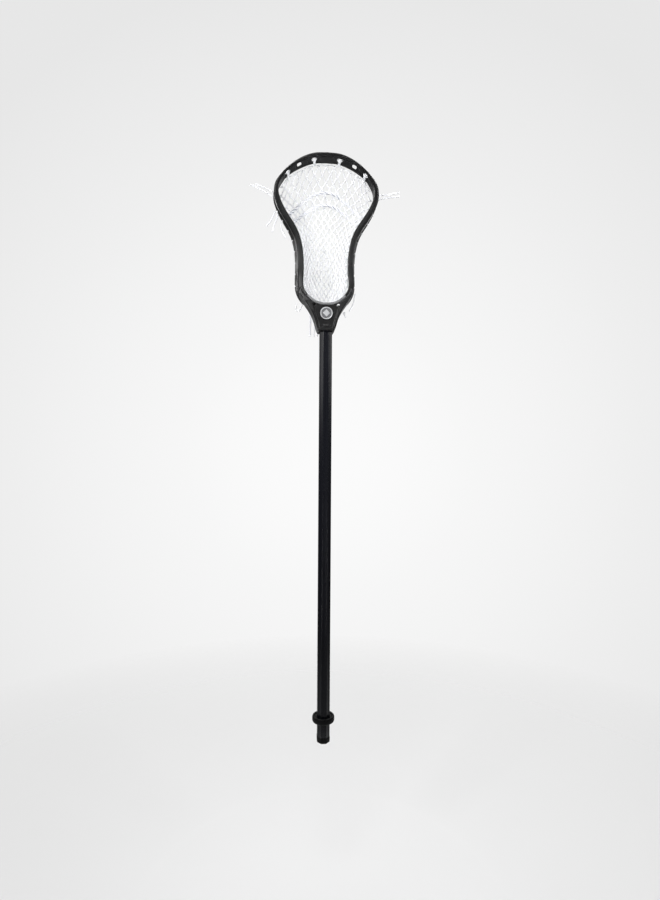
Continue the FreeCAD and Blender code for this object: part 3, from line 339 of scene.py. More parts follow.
# --------------------------------------------------------------- the head's rail path, in mm
STATIONS = [
    (0.0, 759.2, -15.5, 27.0, 10.4, 10.4, 10.4, 0.0),
    (14.2, 761.2, -15.0, 28.0, 10.4, 10.2, 10.2, 0.1),
    (26.2, 768.9, -12.5, 30.0, 10.4, 10.0, 9.4, 0.9),
    (35.4, 780.0, -8.0, 33.0, 10.6, 10.0, 7.6, 2.4),
    (39.2, 793.3, -2.5, 36.0, 10.8, 10.0, 5.6, 4.1),
    (39.0, 808.0, 2.5, 38.0, 11.0, 10.0, 4.6, 5.2),
    (38.3, 826.0, 5.0, 40.0, 11.1, 10.1, 4.4, 5.3),
    (39.0, 845.0, 5.5, 40.0, 11.1, 10.1, 4.4, 4.9),
    (41.0, 862.0, 5.0, 39.0, 10.9, 10.0, 4.4, 4.4),
    (45.6, 879.8, 4.0, 38.0, 10.5, 9.7, 4.4, 3.7),
    (53.1, 896.3, 2.0, 36.5, 9.9, 9.1, 4.3, 2.9),
    (62.8, 910.4, 0.0, 34.5, 9.5, 8.7, 4.2, 2.1),
    (72.2, 924.4, -2.5, 32.5, 9.3, 8.5, 4.1, 1.7),
    (79.4, 938.5, -5.0, 30.5, 8.8, 8.2, 4.0, 1.8),
    (83.0, 951.7, -8.0, 28.0, 8.3, 7.8, 4.0, 2.4),
    (81.3, 965.4, -11.0, 24.0, 7.1, 6.6, 3.9, 2.8),
    (73.5, 977.6, -14.0, 18.5, 5.7, 5.2, 3.8, 2.2),
    (62.0, 988.7, -16.5, 13.5, 5.0, 4.5, 3.7, 0.6),
    (46.8, 998.6, -18.5, 9.5, 5.1, 4.6, 3.6, -1.6),
    (28.8, 1006.5, -19.6, 6.5, 5.3, 4.8, 3.5, -3.0),
    (9.6, 1009.9, -20.0, 5.2, 5.2, 4.7, 3.5, -3.6),
    (0.0, 1010.2, -20.0, 5.0, 5.1, 4.6, 3.5, -3.7),
]


def flipped(row):
    return (-row[0],) + tuple(row[1:])


EXT = np.array([flipped(STATIONS[2]), flipped(STATIONS[1])] + STATIONS + [flipped(STATIONS[-2]), flipped(STATIONS[-3])], float)
PAR = np.concatenate([[0.0], np.cumsum(np.hypot(np.diff(EXT[:, 0]), np.diff(EXT[:, 1])))])
T0, T1 = PAR[2], PAR[-3]
LOOP = T1 - T0
_h = np.diff(PAR)[:, None]
_d = np.diff(EXT, axis=0) / _h
SLOPES = np.zeros_like(EXT)
SLOPES[0], SLOPES[-1] = _d[0], _d[-1]
SLOPES[1:-1] = (_d[:-1] * _h[1:] + _d[1:] * _h[:-1]) / (_h[:-1] + _h[1:])


def row_at(t):
    s = t + T0
    k = int(min(max(np.searchsorted(PAR, s) - 1, 0), len(PAR) - 2))
    step = PAR[k + 1] - PAR[k]
    u = (s - PAR[k]) / step
    return ((2 * u ** 3 - 3 * u ** 2 + 1) * EXT[k] + (u ** 3 - 2 * u ** 2 + u) * step * SLOPES[k]
            + (-2 * u ** 3 + 3 * u ** 2) * EXT[k + 1] + (u ** 3 - u ** 2) * step * SLOPES[k + 1])


def normal_at(t):
    if t < 1e-6:
        return (0.0, -1.0)
    if t > LOOP - 1e-6:
        return (0.0, 1.0)
    a, b = row_at(t - 0.6), row_at(t + 0.6)
    dx, dz = b[0] - a[0], b[1] - a[1]
    n = math.hypot(dx, dz)
    return (dz / n, -dx / n)


def on_rail(t, n, y, side=1):
    """Point in mm at distance t along the half loop, n outwards from the inner face, depth y."""
    row = row_at(t)
    N = normal_at(t)
    lean = row[7] * max(0.0, min(1.0, (y - row[2]) / (row[3] - row[2])))
    off = n + lean
    return Vector((side * (row[0] + N[0] * off), y, row[1] + N[1] * off))


def on_scoop(s, n, y):
    return on_rail(LOOP - abs(s), n, y, 1 if s >= 0 else -1)


def on_stop(s, n, y):
    return on_rail(abs(s), n, y, 1 if s >= 0 else -1)


def back_of(t):
    return row_at(t)[3]


def front_of(t):
    return row_at(t)[2]


# --------------------------------------------------------------- curves and tubes
def to_m(points):
    return [Vector(q) * MM for q in points]


def nurbs(name, points, dia, res=12, bevel_res=4, radii=None):
    """Smooth open NURBS curve whose control points are the route's points, in metres."""
    cu = bpy.data.curves.new(name, "CURVE")
    cu.dimensions = "3D"
    sp = cu.splines.new("NURBS")
    sp.points.add(len(points) - 1)
    for k, q in enumerate(points):
        sp.points[k].co = (*q, 1.0)
        sp.points[k].radius = radii[k] if radii else 1.0
    sp.order_u = 3
    sp.use_endpoint_u = True
    sp.resolution_u = res
    cu.resolution_u = res
    cu.bevel_depth = dia / 2
    cu.bevel_resolution = bevel_res
    cu.use_fill_caps = True
    return new_object(name, cu)


def spline_points(points, res=12):
    """The NURBS line through a route, read from a curve with no bevel."""
    o = nurbs("line_tmp", points, 0.0, res)
    me = bpy.data.meshes.new_from_object(o)
    out = [v.co.copy() for v in me.vertices]
    bpy.data.meshes.remove(me)
    cu = o.data
    bpy.data.objects.remove(o)
    bpy.data.curves.remove(cu)
    return out


def frames_along(pts):
    """Tangents and two steady side directions along a line of points."""
    P = np.array([tuple(q) for q in pts])
    T = np.gradient(P, axis=0)
    T /= np.linalg.norm(T, axis=1)[:, None]
    a = np.array([0.0, 1.0, 0.0]) if abs(T[0][1]) < 0.9 else np.array([1.0, 0, 0])
    n = a - T[0] * a.dot(T[0])
    n /= np.linalg.norm(n)
    N = [n]
    for k in range(1, len(P)):
        n = N[-1] - T[k] * N[-1].dot(T[k])
        n /= np.linalg.norm(n)
        N.append(n)
    N = np.array(N)
    return P, T, N, np.cross(T, N)


def tube_data(pts, radius, sides=8, cap=True, flat=1.0):
    """Vertices and faces of a closed tube; radius is a number or one per point."""
    P, T, N, B = frames_along(pts)
    R = np.full(len(P), radius) if isinstance(radius, float) else np.array(radius, float)
    ang = np.arange(sides) * 2 * math.pi / sides
    ring = N[:, None, :] * np.cos(ang)[None, :, None] + flat * B[:, None, :] * np.sin(ang)[None, :, None]
    V = P[:, None, :] + ring * R[:, None, None]
    verts = V.reshape(-1, 3).tolist()
    faces = []
    n = len(P)
    for k in range(n - 1):
        for j in range(sides):
            a = k * sides + j
            b = k * sides + (j + 1) % sides
            faces.append((a, b, b + sides, a + sides))
    if cap:
        c0, c1 = len(verts), len(verts) + 1
        verts.append((P[0] - T[0] * R[0] * 0.45).tolist())
        verts.append((P[-1] + T[-1] * R[-1] * 0.45).tolist())
        for j in range(sides):
            faces.append((c0, (j + 1) % sides, j))
            e = (n - 1) * sides
            faces.append((c1, e + j, e + (j + 1) % sides))
    return verts, faces


def merged(name, parts):
    verts, faces = [], []
    for v, f in parts:
        o = len(verts)
        verts += v
        faces += [tuple(i + o for i in q) for q in f]
    return mesh_from(name, verts, faces)


def strands(points, n, offset, radius, pitch, sides=8, phase=0.0, wobble=0.0):
    """n round strands laid round a line with the given twist pitch."""
    P, T, N, B = frames_along(points)
    seg = np.linalg.norm(np.diff(P, axis=0), axis=1)
    L = np.concatenate([[0], np.cumsum(seg)])
    out = []
    for s in range(n):
        a = 2 * math.pi * (L / pitch + s / n) + phase + wobble * np.sin(2 * math.pi * L / (pitch * 3.3))
        Q = P + offset * (N * np.cos(a)[:, None] + B * np.sin(a)[:, None])
        out.append(tube_data(Q, radius, sides))
    return out


def resample(points, step):
    P = np.array([tuple(q) for q in points])
    seg = np.linalg.norm(np.diff(P, axis=0), axis=1)
    L = np.concatenate([[0], np.cumsum(seg)])
    n = max(2, int(round(L[-1] / step)))
    u = np.linspace(0, L[-1], n + 1)
    return np.stack([np.interp(u, L, P[:, c]) for c in range(3)], axis=1), L[-1]


def line_length(points):
    P = np.array([tuple(q) for q in points])
    return float(np.linalg.norm(np.diff(P, axis=0), axis=1).sum())


# --------------------------------------------------------------- free cords
TAIL = 0.0024
ROUTES = {
    "lace_end_upper_left_a": [(-94.4, 23.0, 953.6), (-102.5, 22.6, 959.4), (-112.0, 21.6, 963.0), (-122.5, 19.6, 967.6), (-133.3, 17.2, 970.8)],
    "lace_end_upper_left_b": [(-94.2, 21.5, 961.6), (-100.2, 23.6, 966.6), (-107.6, 25.2, 970.2), (-116.2, 25.4, 972.6), (-124.6, 24.2, 976.0)],
    "lace_end_upper_right_a": [(94.4, 23.0, 955.0), (102.0, 22.4, 958.4), (111.5, 21.2, 959.4), (122.0, 20.0, 960.9), (132.6, 18.2, 961.6)],
    "lace_end_upper_right_b": [(94.0, 21.5, 962.6), (101.6, 23.4, 965.0), (110.6, 25.0, 966.3), (121.6, 25.0, 969.2), (132.8, 24.0, 971.4)],
    "lace_end_lower_left_a": [(-88.6, 24.6, 929.6), (-93.6, 27.6, 920.6), (-98.0, 28.0, 911.6), (-104.8, 27.0, 902.6)],
    "lace_end_lower_left_b": [(-84.2, 21.0, 922.6), (-87.6, 23.6, 912.6), (-91.8, 24.4, 903.4), (-93.8, 23.0, 892.0)],
    "string_end_left": [(-78.0, 26.2, 911.0), (-80.0, 25.4, 902.2), (-75.4, 23.4, 891.6), (-71.0, 21.0, 881.6)],
    "flat_lace_end": [(-24.4, 36.4, 766.6), (-25.4, 35.6, 750.0), (-25.4, 31.6, 730.4), (-26.2, 28.4, 709.2)],
    "string_end_bottom_a": [(-13.4, 34.0, 758.0), (-15.8, 31.0, 743.4), (-18.4, 27.4, 726.0), (-19.2, 26.2, 708.0)],
    "string_end_bottom_b": [(-8.0, 34.4, 758.4), (-10.6, 31.6, 743.0), (-13.8, 27.4, 725.6), (-12.8, 27.6, 708.6)],
    "string_loop_left": [(-40.4, 36.6, 770.6), (-41.8, 35.0, 760.4), (-47.6, 33.6, 753.6), (-53.0, 32.4, 759.2), (-50.6, 31.4, 768.2)],
    "string_end_right": [(54.6, 30.6, 788.0), (53.8, 30.4, 777.0), (50.0, 29.8, 766.2), (44.4, 29.4, 756.0)],
}
for name, route in ROUTES.items():
    pts = to_m(route)
    dia = 0.0030 if name == "flat_lace_end" else TAIL
    o = nurbs("v_" + name, pts, dia)
    set_material(o, MAT_LACE if name.startswith(("lace", "flat")) else MAT_STRING)
    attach(o, "stick")
    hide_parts(name)
    length = line_length(spline_points(pts))

# --------------------------------------------------------------- pocket surface
LEVELS = [765.5, 770.0, 780.0, 793.0, 808.0, 826.0, 845.0, 864.0, 883.0, 902.0, 920.0, 938.0, 955.0, 970.0, 982.0, 991.0, 998.0, 1001.6]
SAGS = [9.0, 13.0, 19.0, 26.0, 31.5, 35.0, 36.0, 35.8, 35.0, 34.0, 33.0, 31.0, 28.0, 23.5, 18.0, 12.5, 7.5, 4.0]
T_ALL = [LOOP * i / 400.0 for i in range(401)]
ROWS_ALL = [row_at(t) for t in T_ALL]
NORM_ALL = [normal_at(t) for t in T_ALL]


def wall_line(n, yfun):
    xs, zs = [], []
    for row, N in zip(ROWS_ALL, NORM_ALL):
        y = yfun(row)
        lean = row[7] * max(0.0, min(1.0, (y - row[2]) / (row[3] - row[2])))
        xs.append(row[0] + N[0] * (n + lean))
        zs.append(row[1] + N[1] * (n + lean))
    return np.array(xs), np.array(zs)


def rail_back(z):
    best = min(range(401), key=lambda i: abs(ROWS_ALL[i][1] - z))
    return ROWS_ALL[best][3]


def inner_half_width(z, y, gap):
    xs, zs = wall_line(-gap, lambda row: y)
    hit = []
    for k in range(400):
        if (zs[k] - z) * (zs[k + 1] - z) <= 0 and zs[k] != zs[k + 1]:
            u = (z - zs[k]) / (zs[k + 1] - zs[k])
            hit.append(xs[k] + u * (xs[k + 1] - xs[k]))
    return max(hit) if hit else 0.0


ZT = np.arange(763.0, 1003.01, 1.0)
YB_T = np.array([rail_back(z) - 7.0 for z in ZT])
# the back rail is sampled at stations, so its depth is smoothed along the head
YB_T = np.convolve(np.pad(YB_T, 3, mode="edge"), np.ones(7) / 7, mode="valid")
W_T = np.array([inner_half_width(z, y, 4.4) for z, y in zip(ZT, YB_T)])
SAG_T = np.interp(ZT, LEVELS, SAGS)
SAG_T = np.convolve(np.pad(SAG_T, 6, mode="edge"), np.ones(13) / 13, mode="valid")


def half_width(z):
    return float(np.interp(z, ZT, W_T))


def pocket_y(x, z):
    yb = float(np.interp(z, ZT, YB_T))
    sag = float(np.interp(z, ZT, SAG_T))
    w = half_width(z)
    q = min(1.0, abs(x) / max(w, 1e-6))
    return yb + sag * (1 - q ** 2.4)


# --------------------------------------------------------------- pocket mesh: a knotted diamond net
NCOL = 12
HALF = 2 * NCOL
NROW = 30
SC_X, SC_Z = wall_line(-4.6, lambda row: row[3] - 2.0)
top_part = SC_Z > 930
keep = [k for k in range(401) if SC_Z[k] > 948 and T_ALL[k] > 0.55 * LOOP]
TOPX = np.array([SC_X[k] for k in keep])[::-1]
TOPZ = np.array([SC_Z[k] for k in keep])[::-1]
order = np.argsort(TOPX)
TOPX, TOPZ = TOPX[order], TOPZ[order]
W1 = 77.0
ST_X, ST_Z = wall_line(-1.6, lambda row: row[3] - 6.0)
keep = [k for k in range(401) if T_ALL[k] < 46]
BOTX = np.array([ST_X[k] for k in keep])
BOTZ = np.array([ST_Z[k] for k in keep])
order = np.argsort(BOTX)
BOTX, BOTZ = BOTX[order], BOTZ[order]
W0 = 33.0


def z_top(x):
    return float(np.interp(abs(x), TOPX, TOPZ))


def z_bot(x):
    return float(np.interp(abs(x), BOTX, BOTZ))


Z_LOW = z_bot(0.0) + 1.5
Z_HIGH = z_top(0.0) - 0.5


def net_line(v, q):
    """Point in mm of the net at height fraction v and signed width fraction q, -1 to 1."""
    zc = Z_LOW + (Z_HIGH - Z_LOW) * v
    a_top = max(0.0, (v - 0.18) / 0.82) ** 1.25
    a_bot = max(0.0, 1 - v / 0.30) ** 1.6
    zs = zc + a_top * (z_top(W1) - z_top(0)) + a_bot * (z_bot(W0) - z_bot(0))
    w = half_width(max(zs, 764.0))
    w = w * (1 - a_top ** 6) + W1 * a_top ** 6 if v > 0.9 else w
    if v < 0.12:
        k = v / 0.12
        w = w * k + W0 * (1 - k)
    # equal arc lengths across the trough
    sag = float(np.interp(zs, ZT, SAG_T))
    us = np.linspace(0, 1, 41)
    xs = us * w
    ys = sag * (1 - us ** 2.4)
    L = np.concatenate([[0], np.cumsum(np.hypot(np.diff(xs), np.diff(ys)))])
    x = float(np.interp(abs(q) * L[-1], L, xs))
    z = zc + a_top * (z_top(x * W1 / w) - z_top(0)) + a_bot * (z_bot(x * W0 / w) - z_bot(0))
    sx = x if q >= 0 else -x
    y = pocket_y(x, min(max(z, 764.0), 1003.0)) + 1.4
    return Vector((sx, y, z))


# rows are closer together where the net is stretched sideways
def row_v(j):
    u = j / float(NROW)
    return u + 0.035 * math.sin(2 * math.pi * u) * 0.5


NET_D = 2.3
rng = random.Random(11)
JIT = {}
for j in range(NROW + 1):
    for c in range(HALF + 1):
        JIT[(c, j)] = (rng.uniform(-0.14, 0.14), rng.uniform(-0.10, 0.10))


def node(c, j):
    jx, jv = JIT[(c, j)]
    edge = c == 0 or c == HALF or j == 0 or j == NROW
    q = -1 + 2.0 * (c + (0 if edge else jx)) / HALF
    v = row_v(j + (0 if edge else jv))
    return net_line(min(max(v, 0.0), 1.0), q)


NODES = {}
for j in range(NROW + 1):
    for c in range(HALF + 1):
        if (c + j) % 2 == 0:
            NODES[(c, j)] = node(c, j)

net_parts = []
for m in range(HALF):
    ctrl = []
    for j in range(NROW + 1):
        c = m if (m + j) % 2 == 0 else m + 1
        P = NODES[(c, j)]
        across = Vector((1, 0, 0))
        sgn = 1 if c == m else -1
        off = 0.42 * NET_D * sgn
        if c in (0, HALF):
            off = 0.1 * sgn
        prev = NODES.get((2 * m + 1 - c, j - 1))
        nxt = NODES.get((2 * m + 1 - c, j + 1))
        along = ((nxt if nxt is not None else P) - (prev if prev is not None else P)).normalized()
        base = P + across * off
        if j == 0:
            ctrl += [base, base + along * 1.3]
        elif j == NROW:
            ctrl += [base - along * 1.3, base]
        else:
            ctrl += [base - along * 1.5, base + along * 1.5]
    line = spline_points([q * MM for q in ctrl], 3)
    net_parts.append(tube_data(line, NET_D / 2 * MM, 7))


def knot_blob(P, along, across, a, b, c, rings=6, sides=8):
    """Small wound knot: a swollen barrel with a waist turn, axis along the strands."""
    n = along.cross(across).normalized()
    verts, faces = [], []
    for i in range(rings + 1):
        t = -1 + 2.0 * i / rings
        r = math.sqrt(max(0.0, 1 - abs(t) ** 2.6))
        r = r * (1.0 - 0.12 * math.cos(math.pi * t * 2.0)) if 0 < i < rings else 0.18
        for k in range(sides):
            an = 2 * math.pi * k / sides
            q = P + along * (a * t) + across * (b * r * math.cos(an)) + n * (c * r * math.sin(an))
            verts.append(tuple(q * MM))
    for i in range(rings):
        for k in range(sides):
            u = i * sides + k
            w = i * sides + (k + 1) % sides
            faces.append((u, w, w + sides, u + sides))
    faces.append(tuple(reversed(range(sides))))
    faces.append(tuple(range(rings * sides, rings * sides + sides)))
    return verts, faces


for (c, j), P in NODES.items():
    if c in (0, HALF):
        continue
    up_ = (NODES.get((c, j + 2), P) - NODES.get((c, j - 2), P))
    if up_.length < 1e-6:
        up_ = Vector((0, 0, 1))
    up_.normalize()
    ac = (NODES.get((c + 2, j), P) - NODES.get((c - 2, j), P))
    if ac.length < 1e-6:
        ac = Vector((1, 0, 0))
    ac = (ac - up_ * ac.dot(up_)).normalized()
    net_parts.append(knot_blob(P, up_, ac, 2.6, 2.2, 1.6))
net = merged("pocket_net", net_parts)
set_material(net, MAT_MESH)
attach(net, "stick")
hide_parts("mesh_pocket")


# --------------------------------------------------------------- shooting laces
def lace_height(z_mid, drop, at_x, power, x):
    return z_mid - drop * (abs(x) / at_x) ** power


def lace_line(z_mid, drop, at_x, power, gap, seed):
    x = 30.0
    while x < 90.0:
        z = lace_height(z_mid, drop, at_x, power, x)
        if x > half_width(z) - 3.4:
            break
        x += 0.25
    n = 12
    r = random.Random(seed)
    pts = []
    for k in range(-n, n + 1):
        u = k / n
        xx = x * math.sin(math.pi / 2 * u) * (0.42 + 0.58 * abs(u))
        z = lace_height(z_mid, drop, at_x, power, xx)
        j = 0.0 if abs(k) in (n, n - 1) else 1.0
        pts.append(Vector((xx, pocket_y(xx, z) - gap + j * r.uniform(-0.25, 0.25), z + j * r.uniform(-0.5, 0.5))) * MM)
    return pts


LACES = {
    "shooting_lace_upper": (970.0, 45.0, 64.0, 2.0, 4.4, 3),
    "shooting_lace_lower": (952.5, 27.0, 46.0, 2.0, 4.4, 5),
}
for name, (zm, dr, ax, pw, gap, seed) in LACES.items():
    ctrl = lace_line(zm, dr, ax, pw, gap, seed)
    line, L = resample(spline_points(ctrl, 10), 0.0011)
    parts = strands(line, 2, 0.00125, 0.00165, 0.0200, 10, 0.6 * seed, 0.35)
    # the coloured tracer shows less on the right, where the strands lie flat
    cut = int(0.68 * len(line))
    tracer = strands(line[:cut], 2, 0.00182, 0.00072, 0.0220, 6, 0.6 * seed + math.pi / 2, 0.35)
    o = merged("v_" + name, parts + tracer)
    o.data.materials.clear()
    o.data.materials.append(MAT_LACE)
    o.data.materials.append(MAT_TRACER)
    n_white = sum(len(f) for v, f in parts)
    for p in o.data.polygons:
        p.material_index = 0 if p.index < n_white else 1
    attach(o, "stick")
    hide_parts(name)


# --------------------------------------------------------------- strings tied along the rails
SD = 2.2
SIDE_HOLES = [62.0, 84.0, 106.0, 128.0, 150.0, 171.0, 190.0, 207.0]
BOTTOM_HOLES = [8.0, 22.0]
LACE_HOLES = [219.0, 229.0]


def loop_near(x):
    best = None
    t = 0.75 * LOOP
    while t <= LOOP:
        row = row_at(t)
        px = row[0] + normal_at(t)[0] * row[7]
        if best is None or abs(px - x) < best[0]:
            best = (abs(px - x), t)
        t += 0.25
    return best[1]


SCOOP_HOLES = [loop_near(x) for x in (68.0, 46.8, 21.6)]
SCOOP_IN = 11.5


def lacing(holes, depth, side, n_in, clear):
    pts = []
    for k, t in enumerate(holes):
        row = row_at(t)
        yh = row[3] - depth
        yb = row[3] + clear
        n_out = row[5] + 0.15
        pts.append(on_rail(t - 0.6, n_in, yh, side))
        pts.append(on_rail(t, n_out, yh, side))
        pts.append(on_rail(t + 0.8, n_out, yb, side))
        pts.append(on_rail(t + 1.6, n_in, yb, side))
        if k + 1 < len(holes):
            gap = holes[k + 1] - t
            steps = max(2, int(round(gap / 11.0)))
            for i in range(1, steps):
                u = i / float(steps)
                tm = t + 1.6 + (gap - 2.2) * u
                rm = row_at(tm)
                pts.append(on_rail(tm, n_in - 0.25 * (i % 2), rm[3] + clear + (-depth - clear) * (u ** 1.5), side))
    first, last = holes[0], holes[-1]
    pts.insert(0, on_rail(first - 6.0, n_in, row_at(first - 6.0)[3] - depth + 1.0, side))
    pts.append(on_rail(last + 6.5, n_in - 0.3, row_at(last + 6.5)[3] - 1.0, side))
    return pts


def wrap_coil(centre, axis, r, wire, turns, steps=12, squeeze=1.0):
    """A few round turns of cord about an axis, as a whipping or hitch; millimetres."""
    axis = axis.normalized()
    a = axis.orthogonal().normalized()
    b = axis.cross(a)
    pts = []
    n = int(turns * steps)
    for k in range(n + 1):
        an = 2 * math.pi * k / steps
        pts.append((centre + a * math.cos(an) * r + b * math.sin(an) * r * squeeze
                    + axis * (wire * 0.95) * (k / steps - turns / 2)) * MM)
    return tube_data(pts, wire / 2 * MM, 8)


def overhand(centre, axis, size, wire):
    """A pulled-tight overhand knot: one trefoil turn of cord about the axis."""
    axis = axis.normalized()
    a = axis.orthogonal().normalized()
    b = axis.cross(a)
    pts = []
    n = 44
    for k in range(n + 1):
        u = 2 * math.pi * k / n
        x = (math.sin(u) + 2 * math.sin(2 * u)) / 3
        y = (math.cos(u) - 2 * math.cos(2 * u)) / 3
        z = -math.sin(3 * u)
        pts.append((centre + a * x * size + b * y * size + axis * z * size * 0.62) * MM)
    return tube_data(pts, wire / 2 * MM, 8, cap=False)


def side_pieces(side, name):
    pts = lacing(SIDE_HOLES, 5.0, side, -2.2, 2.1)
    line = spline_points([Vector(q) * MM for q in pts], 8)
    parts = [tube_data(line, SD / 2 * MM, 8)]
    # hitches that tie the net's edge to the rail between the holes
    edge = HALF if side > 0 else 0
    for j in range(0, NROW + 1, 2):
        P = NODES[(edge, j)]
        # nearest place on the rail's back edge
        best = min(range(401), key=lambda i: (abs(ROWS_ALL[i][0]) - abs(P.x)) ** 2 + (ROWS_ALL[i][1] - P.z) ** 2)
        t = T_ALL[best]
        if t > 236 or t < 40:
            continue
        row = row_at(t)
        A = on_rail(t, -2.2, row[3] + 0.6, side)
        up_ = (NODES.get((edge, j + 2), P) - NODES.get((edge, j - 2), P)).normalized()
        toward = (A - P)
        parts.append(wrap_coil(P + toward * 0.25, toward if toward.length > 0.5 else up_, 1.75, 1.9, 1.6, 12))
        tie = [P - up_ * 1.4 + Vector((0, -0.6, 0)), P + toward * 0.5 - up_ * 1.6, A + up_ * 0.2, P + toward * 0.5 + up_ * 1.6, P + up_ * 1.4 + Vector((0, -0.6, 0))]
        parts.append(tube_data(spline_points([q * MM for q in tie], 8), 0.95 * MM, 8))
    o = merged("v_" + name, parts)
    set_material(o, MAT_STRING)
    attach(o, "stick")
    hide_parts(name)
    return o


side_pieces(1, "sidewall_string_right")
side_pieces(-1, "sidewall_string_left")

# top string: round the scoop's rear edge, a double bar down from each lacing hole
pts = []
stops = [-(LOOP - SCOOP_HOLES[0]), -(LOOP - SCOOP_HOLES[2]), LOOP - SCOOP_HOLES[2], LOOP - SCOOP_HOLES[0]]
s0 = stops[0]
pts.append(on_scoop(s0 - 15.0, -1.6, back_of(LOOP - abs(s0 - 15.0)) + 1.9))
pts.append(on_scoop(s0 - 7.0, -1.6, back_of(LOOP - abs(s0 - 7.0)) + 1.9))
for k, s0 in enumerate(stops):
    t = LOOP - abs(s0)
    yb = back_of(t) + 1.9
    yi = row_at(t)[2] + SCOOP_IN
    n_out = row_at(t)[5] + 1.9
    pts += [on_scoop(s0 - 1.4, -1.7, yb), on_scoop(s0 - 1.2, -1.7, (yb + yi) / 2 + 1.0), on_scoop(s0 - 0.6, -1.5, yi - 0.4),
            on_scoop(s0 + 0.2, n_out, yi + 10.2), on_scoop(s0 + 0.8, n_out, yb),
            on_scoop(s0 + 2.4, -0.9, yb + 0.5)]
    if k + 1 < len(stops):
        gap = stops[k + 1] - s0
        steps = max(2, int(round(gap / 11.0)))
        for i in range(1, steps):
            s = s0 + 2.4 + (gap - 3.8) * i / float(steps)
            pts.append(on_scoop(s, -0.9 - 0.4 * (i % 2), back_of(LOOP - abs(s)) + 2.2 + 0.2 * (i % 2)))
s0 = stops[-1]
pts.append(on_scoop(s0 + 9.0, -1.2, back_of(LOOP - abs(s0 + 9.0)) + 2.0))
pts.append(on_scoop(s0 + 16.0, -1.6, back_of(LOOP - abs(s0 + 16.0)) + 1.9))
parts = [tube_data(spline_points([Vector(q) * MM for q in pts], 8), SD / 2 * MM, 8)]
for s0 in stops:
    t = LOOP - abs(s0)
    yb = back_of(t)
    yi = row_at(t)[2] + SCOOP_IN
    # two runs side by side from the slot back over the rear edge
    for ds in (-1.15, 1.15):
        bar = [on_scoop(s0 + ds * 2.2, 2.6, yi + 3.6), on_scoop(s0 + ds * 1.9, -0.4, yi - 1.2), on_scoop(s0 + ds * 1.15, -1.5, yi + 1.2),
               on_scoop(s0 + ds, -1.5, (yi + yb) / 2), on_scoop(s0 + ds, -1.5, yb - 1.0),
               on_scoop(s0 + ds, -1.3, yb + 1.9), on_scoop(s0 + ds, 1.6, yb + 2.3), on_scoop(s0 + ds, 4.6, yb + 1.5)]
        parts.append(tube_data(spline_points([Vector(q) * MM for q in bar], 8), 1.1 * MM, 8))
    # the turn lying across the mouth of the slot
    cross = [on_scoop(s0 - 4.0, 1.4, yi + 1.6), on_scoop(s0 - 3.2, -0.8, yi - 0.6), on_scoop(s0, -1.9, yi - 1.6),
             on_scoop(s0 + 3.2, -0.8, yi - 0.6), on_scoop(s0 + 4.0, 1.4, yi + 1.6)]
    parts.append(tube_data(spline_points([Vector(q) * MM for q in cross], 8), 1.25 * MM, 8))
# small loops from the top string down to the net's upper row
for c in range(0, HALF + 1, 2):
    P = NODES[(c, NROW)] if (c, NROW) in NODES else None
    if P is None:
        continue
    s_ = None
    best = min((k for k in range(401) if T_ALL[k] > 0.5 * LOOP), key=lambda i: (ROWS_ALL[i][0] - abs(P.x)) ** 2 + (ROWS_ALL[i][1] - P.z) ** 2)
    t = T_ALL[best]
    A = on_rail(t, -1.4, back_of(t) + 2.4, 1 if P.x >= 0 else -1)
    d = A - P
    side_dir = Vector((1, 0, 0))
    tie = [P - side_dir * 1.5, P - side_dir * 1.4 + d * 0.5, A + Vector((0, 1.2, 0.6)), P + side_dir * 1.4 + d * 0.5, P + side_dir * 1.5]
    parts.append(tube_data(spline_points([q * MM for q in tie], 8), 0.9 * MM, 8))
o = merged("v_top_string", parts)
set_material(o, MAT_STRING)
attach(o, "stick")
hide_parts("top_string")

# bottom string
pts = []
stops = [-BOTTOM_HOLES[1], -BOTTOM_HOLES[0], BOTTOM_HOLES[0], BOTTOM_HOLES[1]]
s0 = stops[0]
pts.append(on_stop(s0 - 9.0, -1.6, back_of(abs(s0 - 9.0)) + 1.9))
for k, s0 in enumerate(stops):
    t = abs(s0)
    yb = back_of(t) + 2.2
    yh = back_of(t) - 3.9
    n_out = row_at(t)[5] + 1.9
    pts += [on_stop(s0 - 0.9, -2.2, yb), on_stop(s0 - 0.2, -2.2, yh), on_stop(s0, n_out + 0.6, yh),
            on_stop(s0 + 0.9, n_out + 0.6, yb + 0.4), on_stop(s0 + 2.6, -1.2, yb + 0.6)]
    if k + 1 < len(stops):
        s = s0 + 2.2 + (stops[k + 1] - s0 - 3.6) * 0.5
        pts.append(on_stop(s, -1.2, back_of(abs(s)) + 2.6))
s0 = stops[-1]
pts.append(on_stop(s0 + 9.0, -1.6, back_of(abs(s0 + 9.0)) + 1.9))
parts = [tube_data(spline_points([Vector(q) * MM for q in pts], 8), SD / 2 * MM, 8)]
for c in range(0, HALF + 1, 2):
    P = NODES[(c, 0)]
    best = min((k for k in range(401) if T_ALL[k] < 60), key=lambda i: (ROWS_ALL[i][0] - abs(P.x)) ** 2 + (ROWS_ALL[i][1] - P.z) ** 2)
    t = T_ALL[best]
    A = on_rail(t, -1.2, back_of(t) + 2.4, 1 if P.x >= 0 else -1)
    d = A - P
    sd = Vector((1, 0, 0))
    tie = [P - sd * 1.5, P - sd * 1.4 + d * 0.5, A + Vector((0, 0.9, -0.4)), P + sd * 1.4 + d * 0.5, P + sd * 1.5]
    parts.append(tube_data(spline_points([q * MM for q in tie], 8), 0.9 * MM, 8))
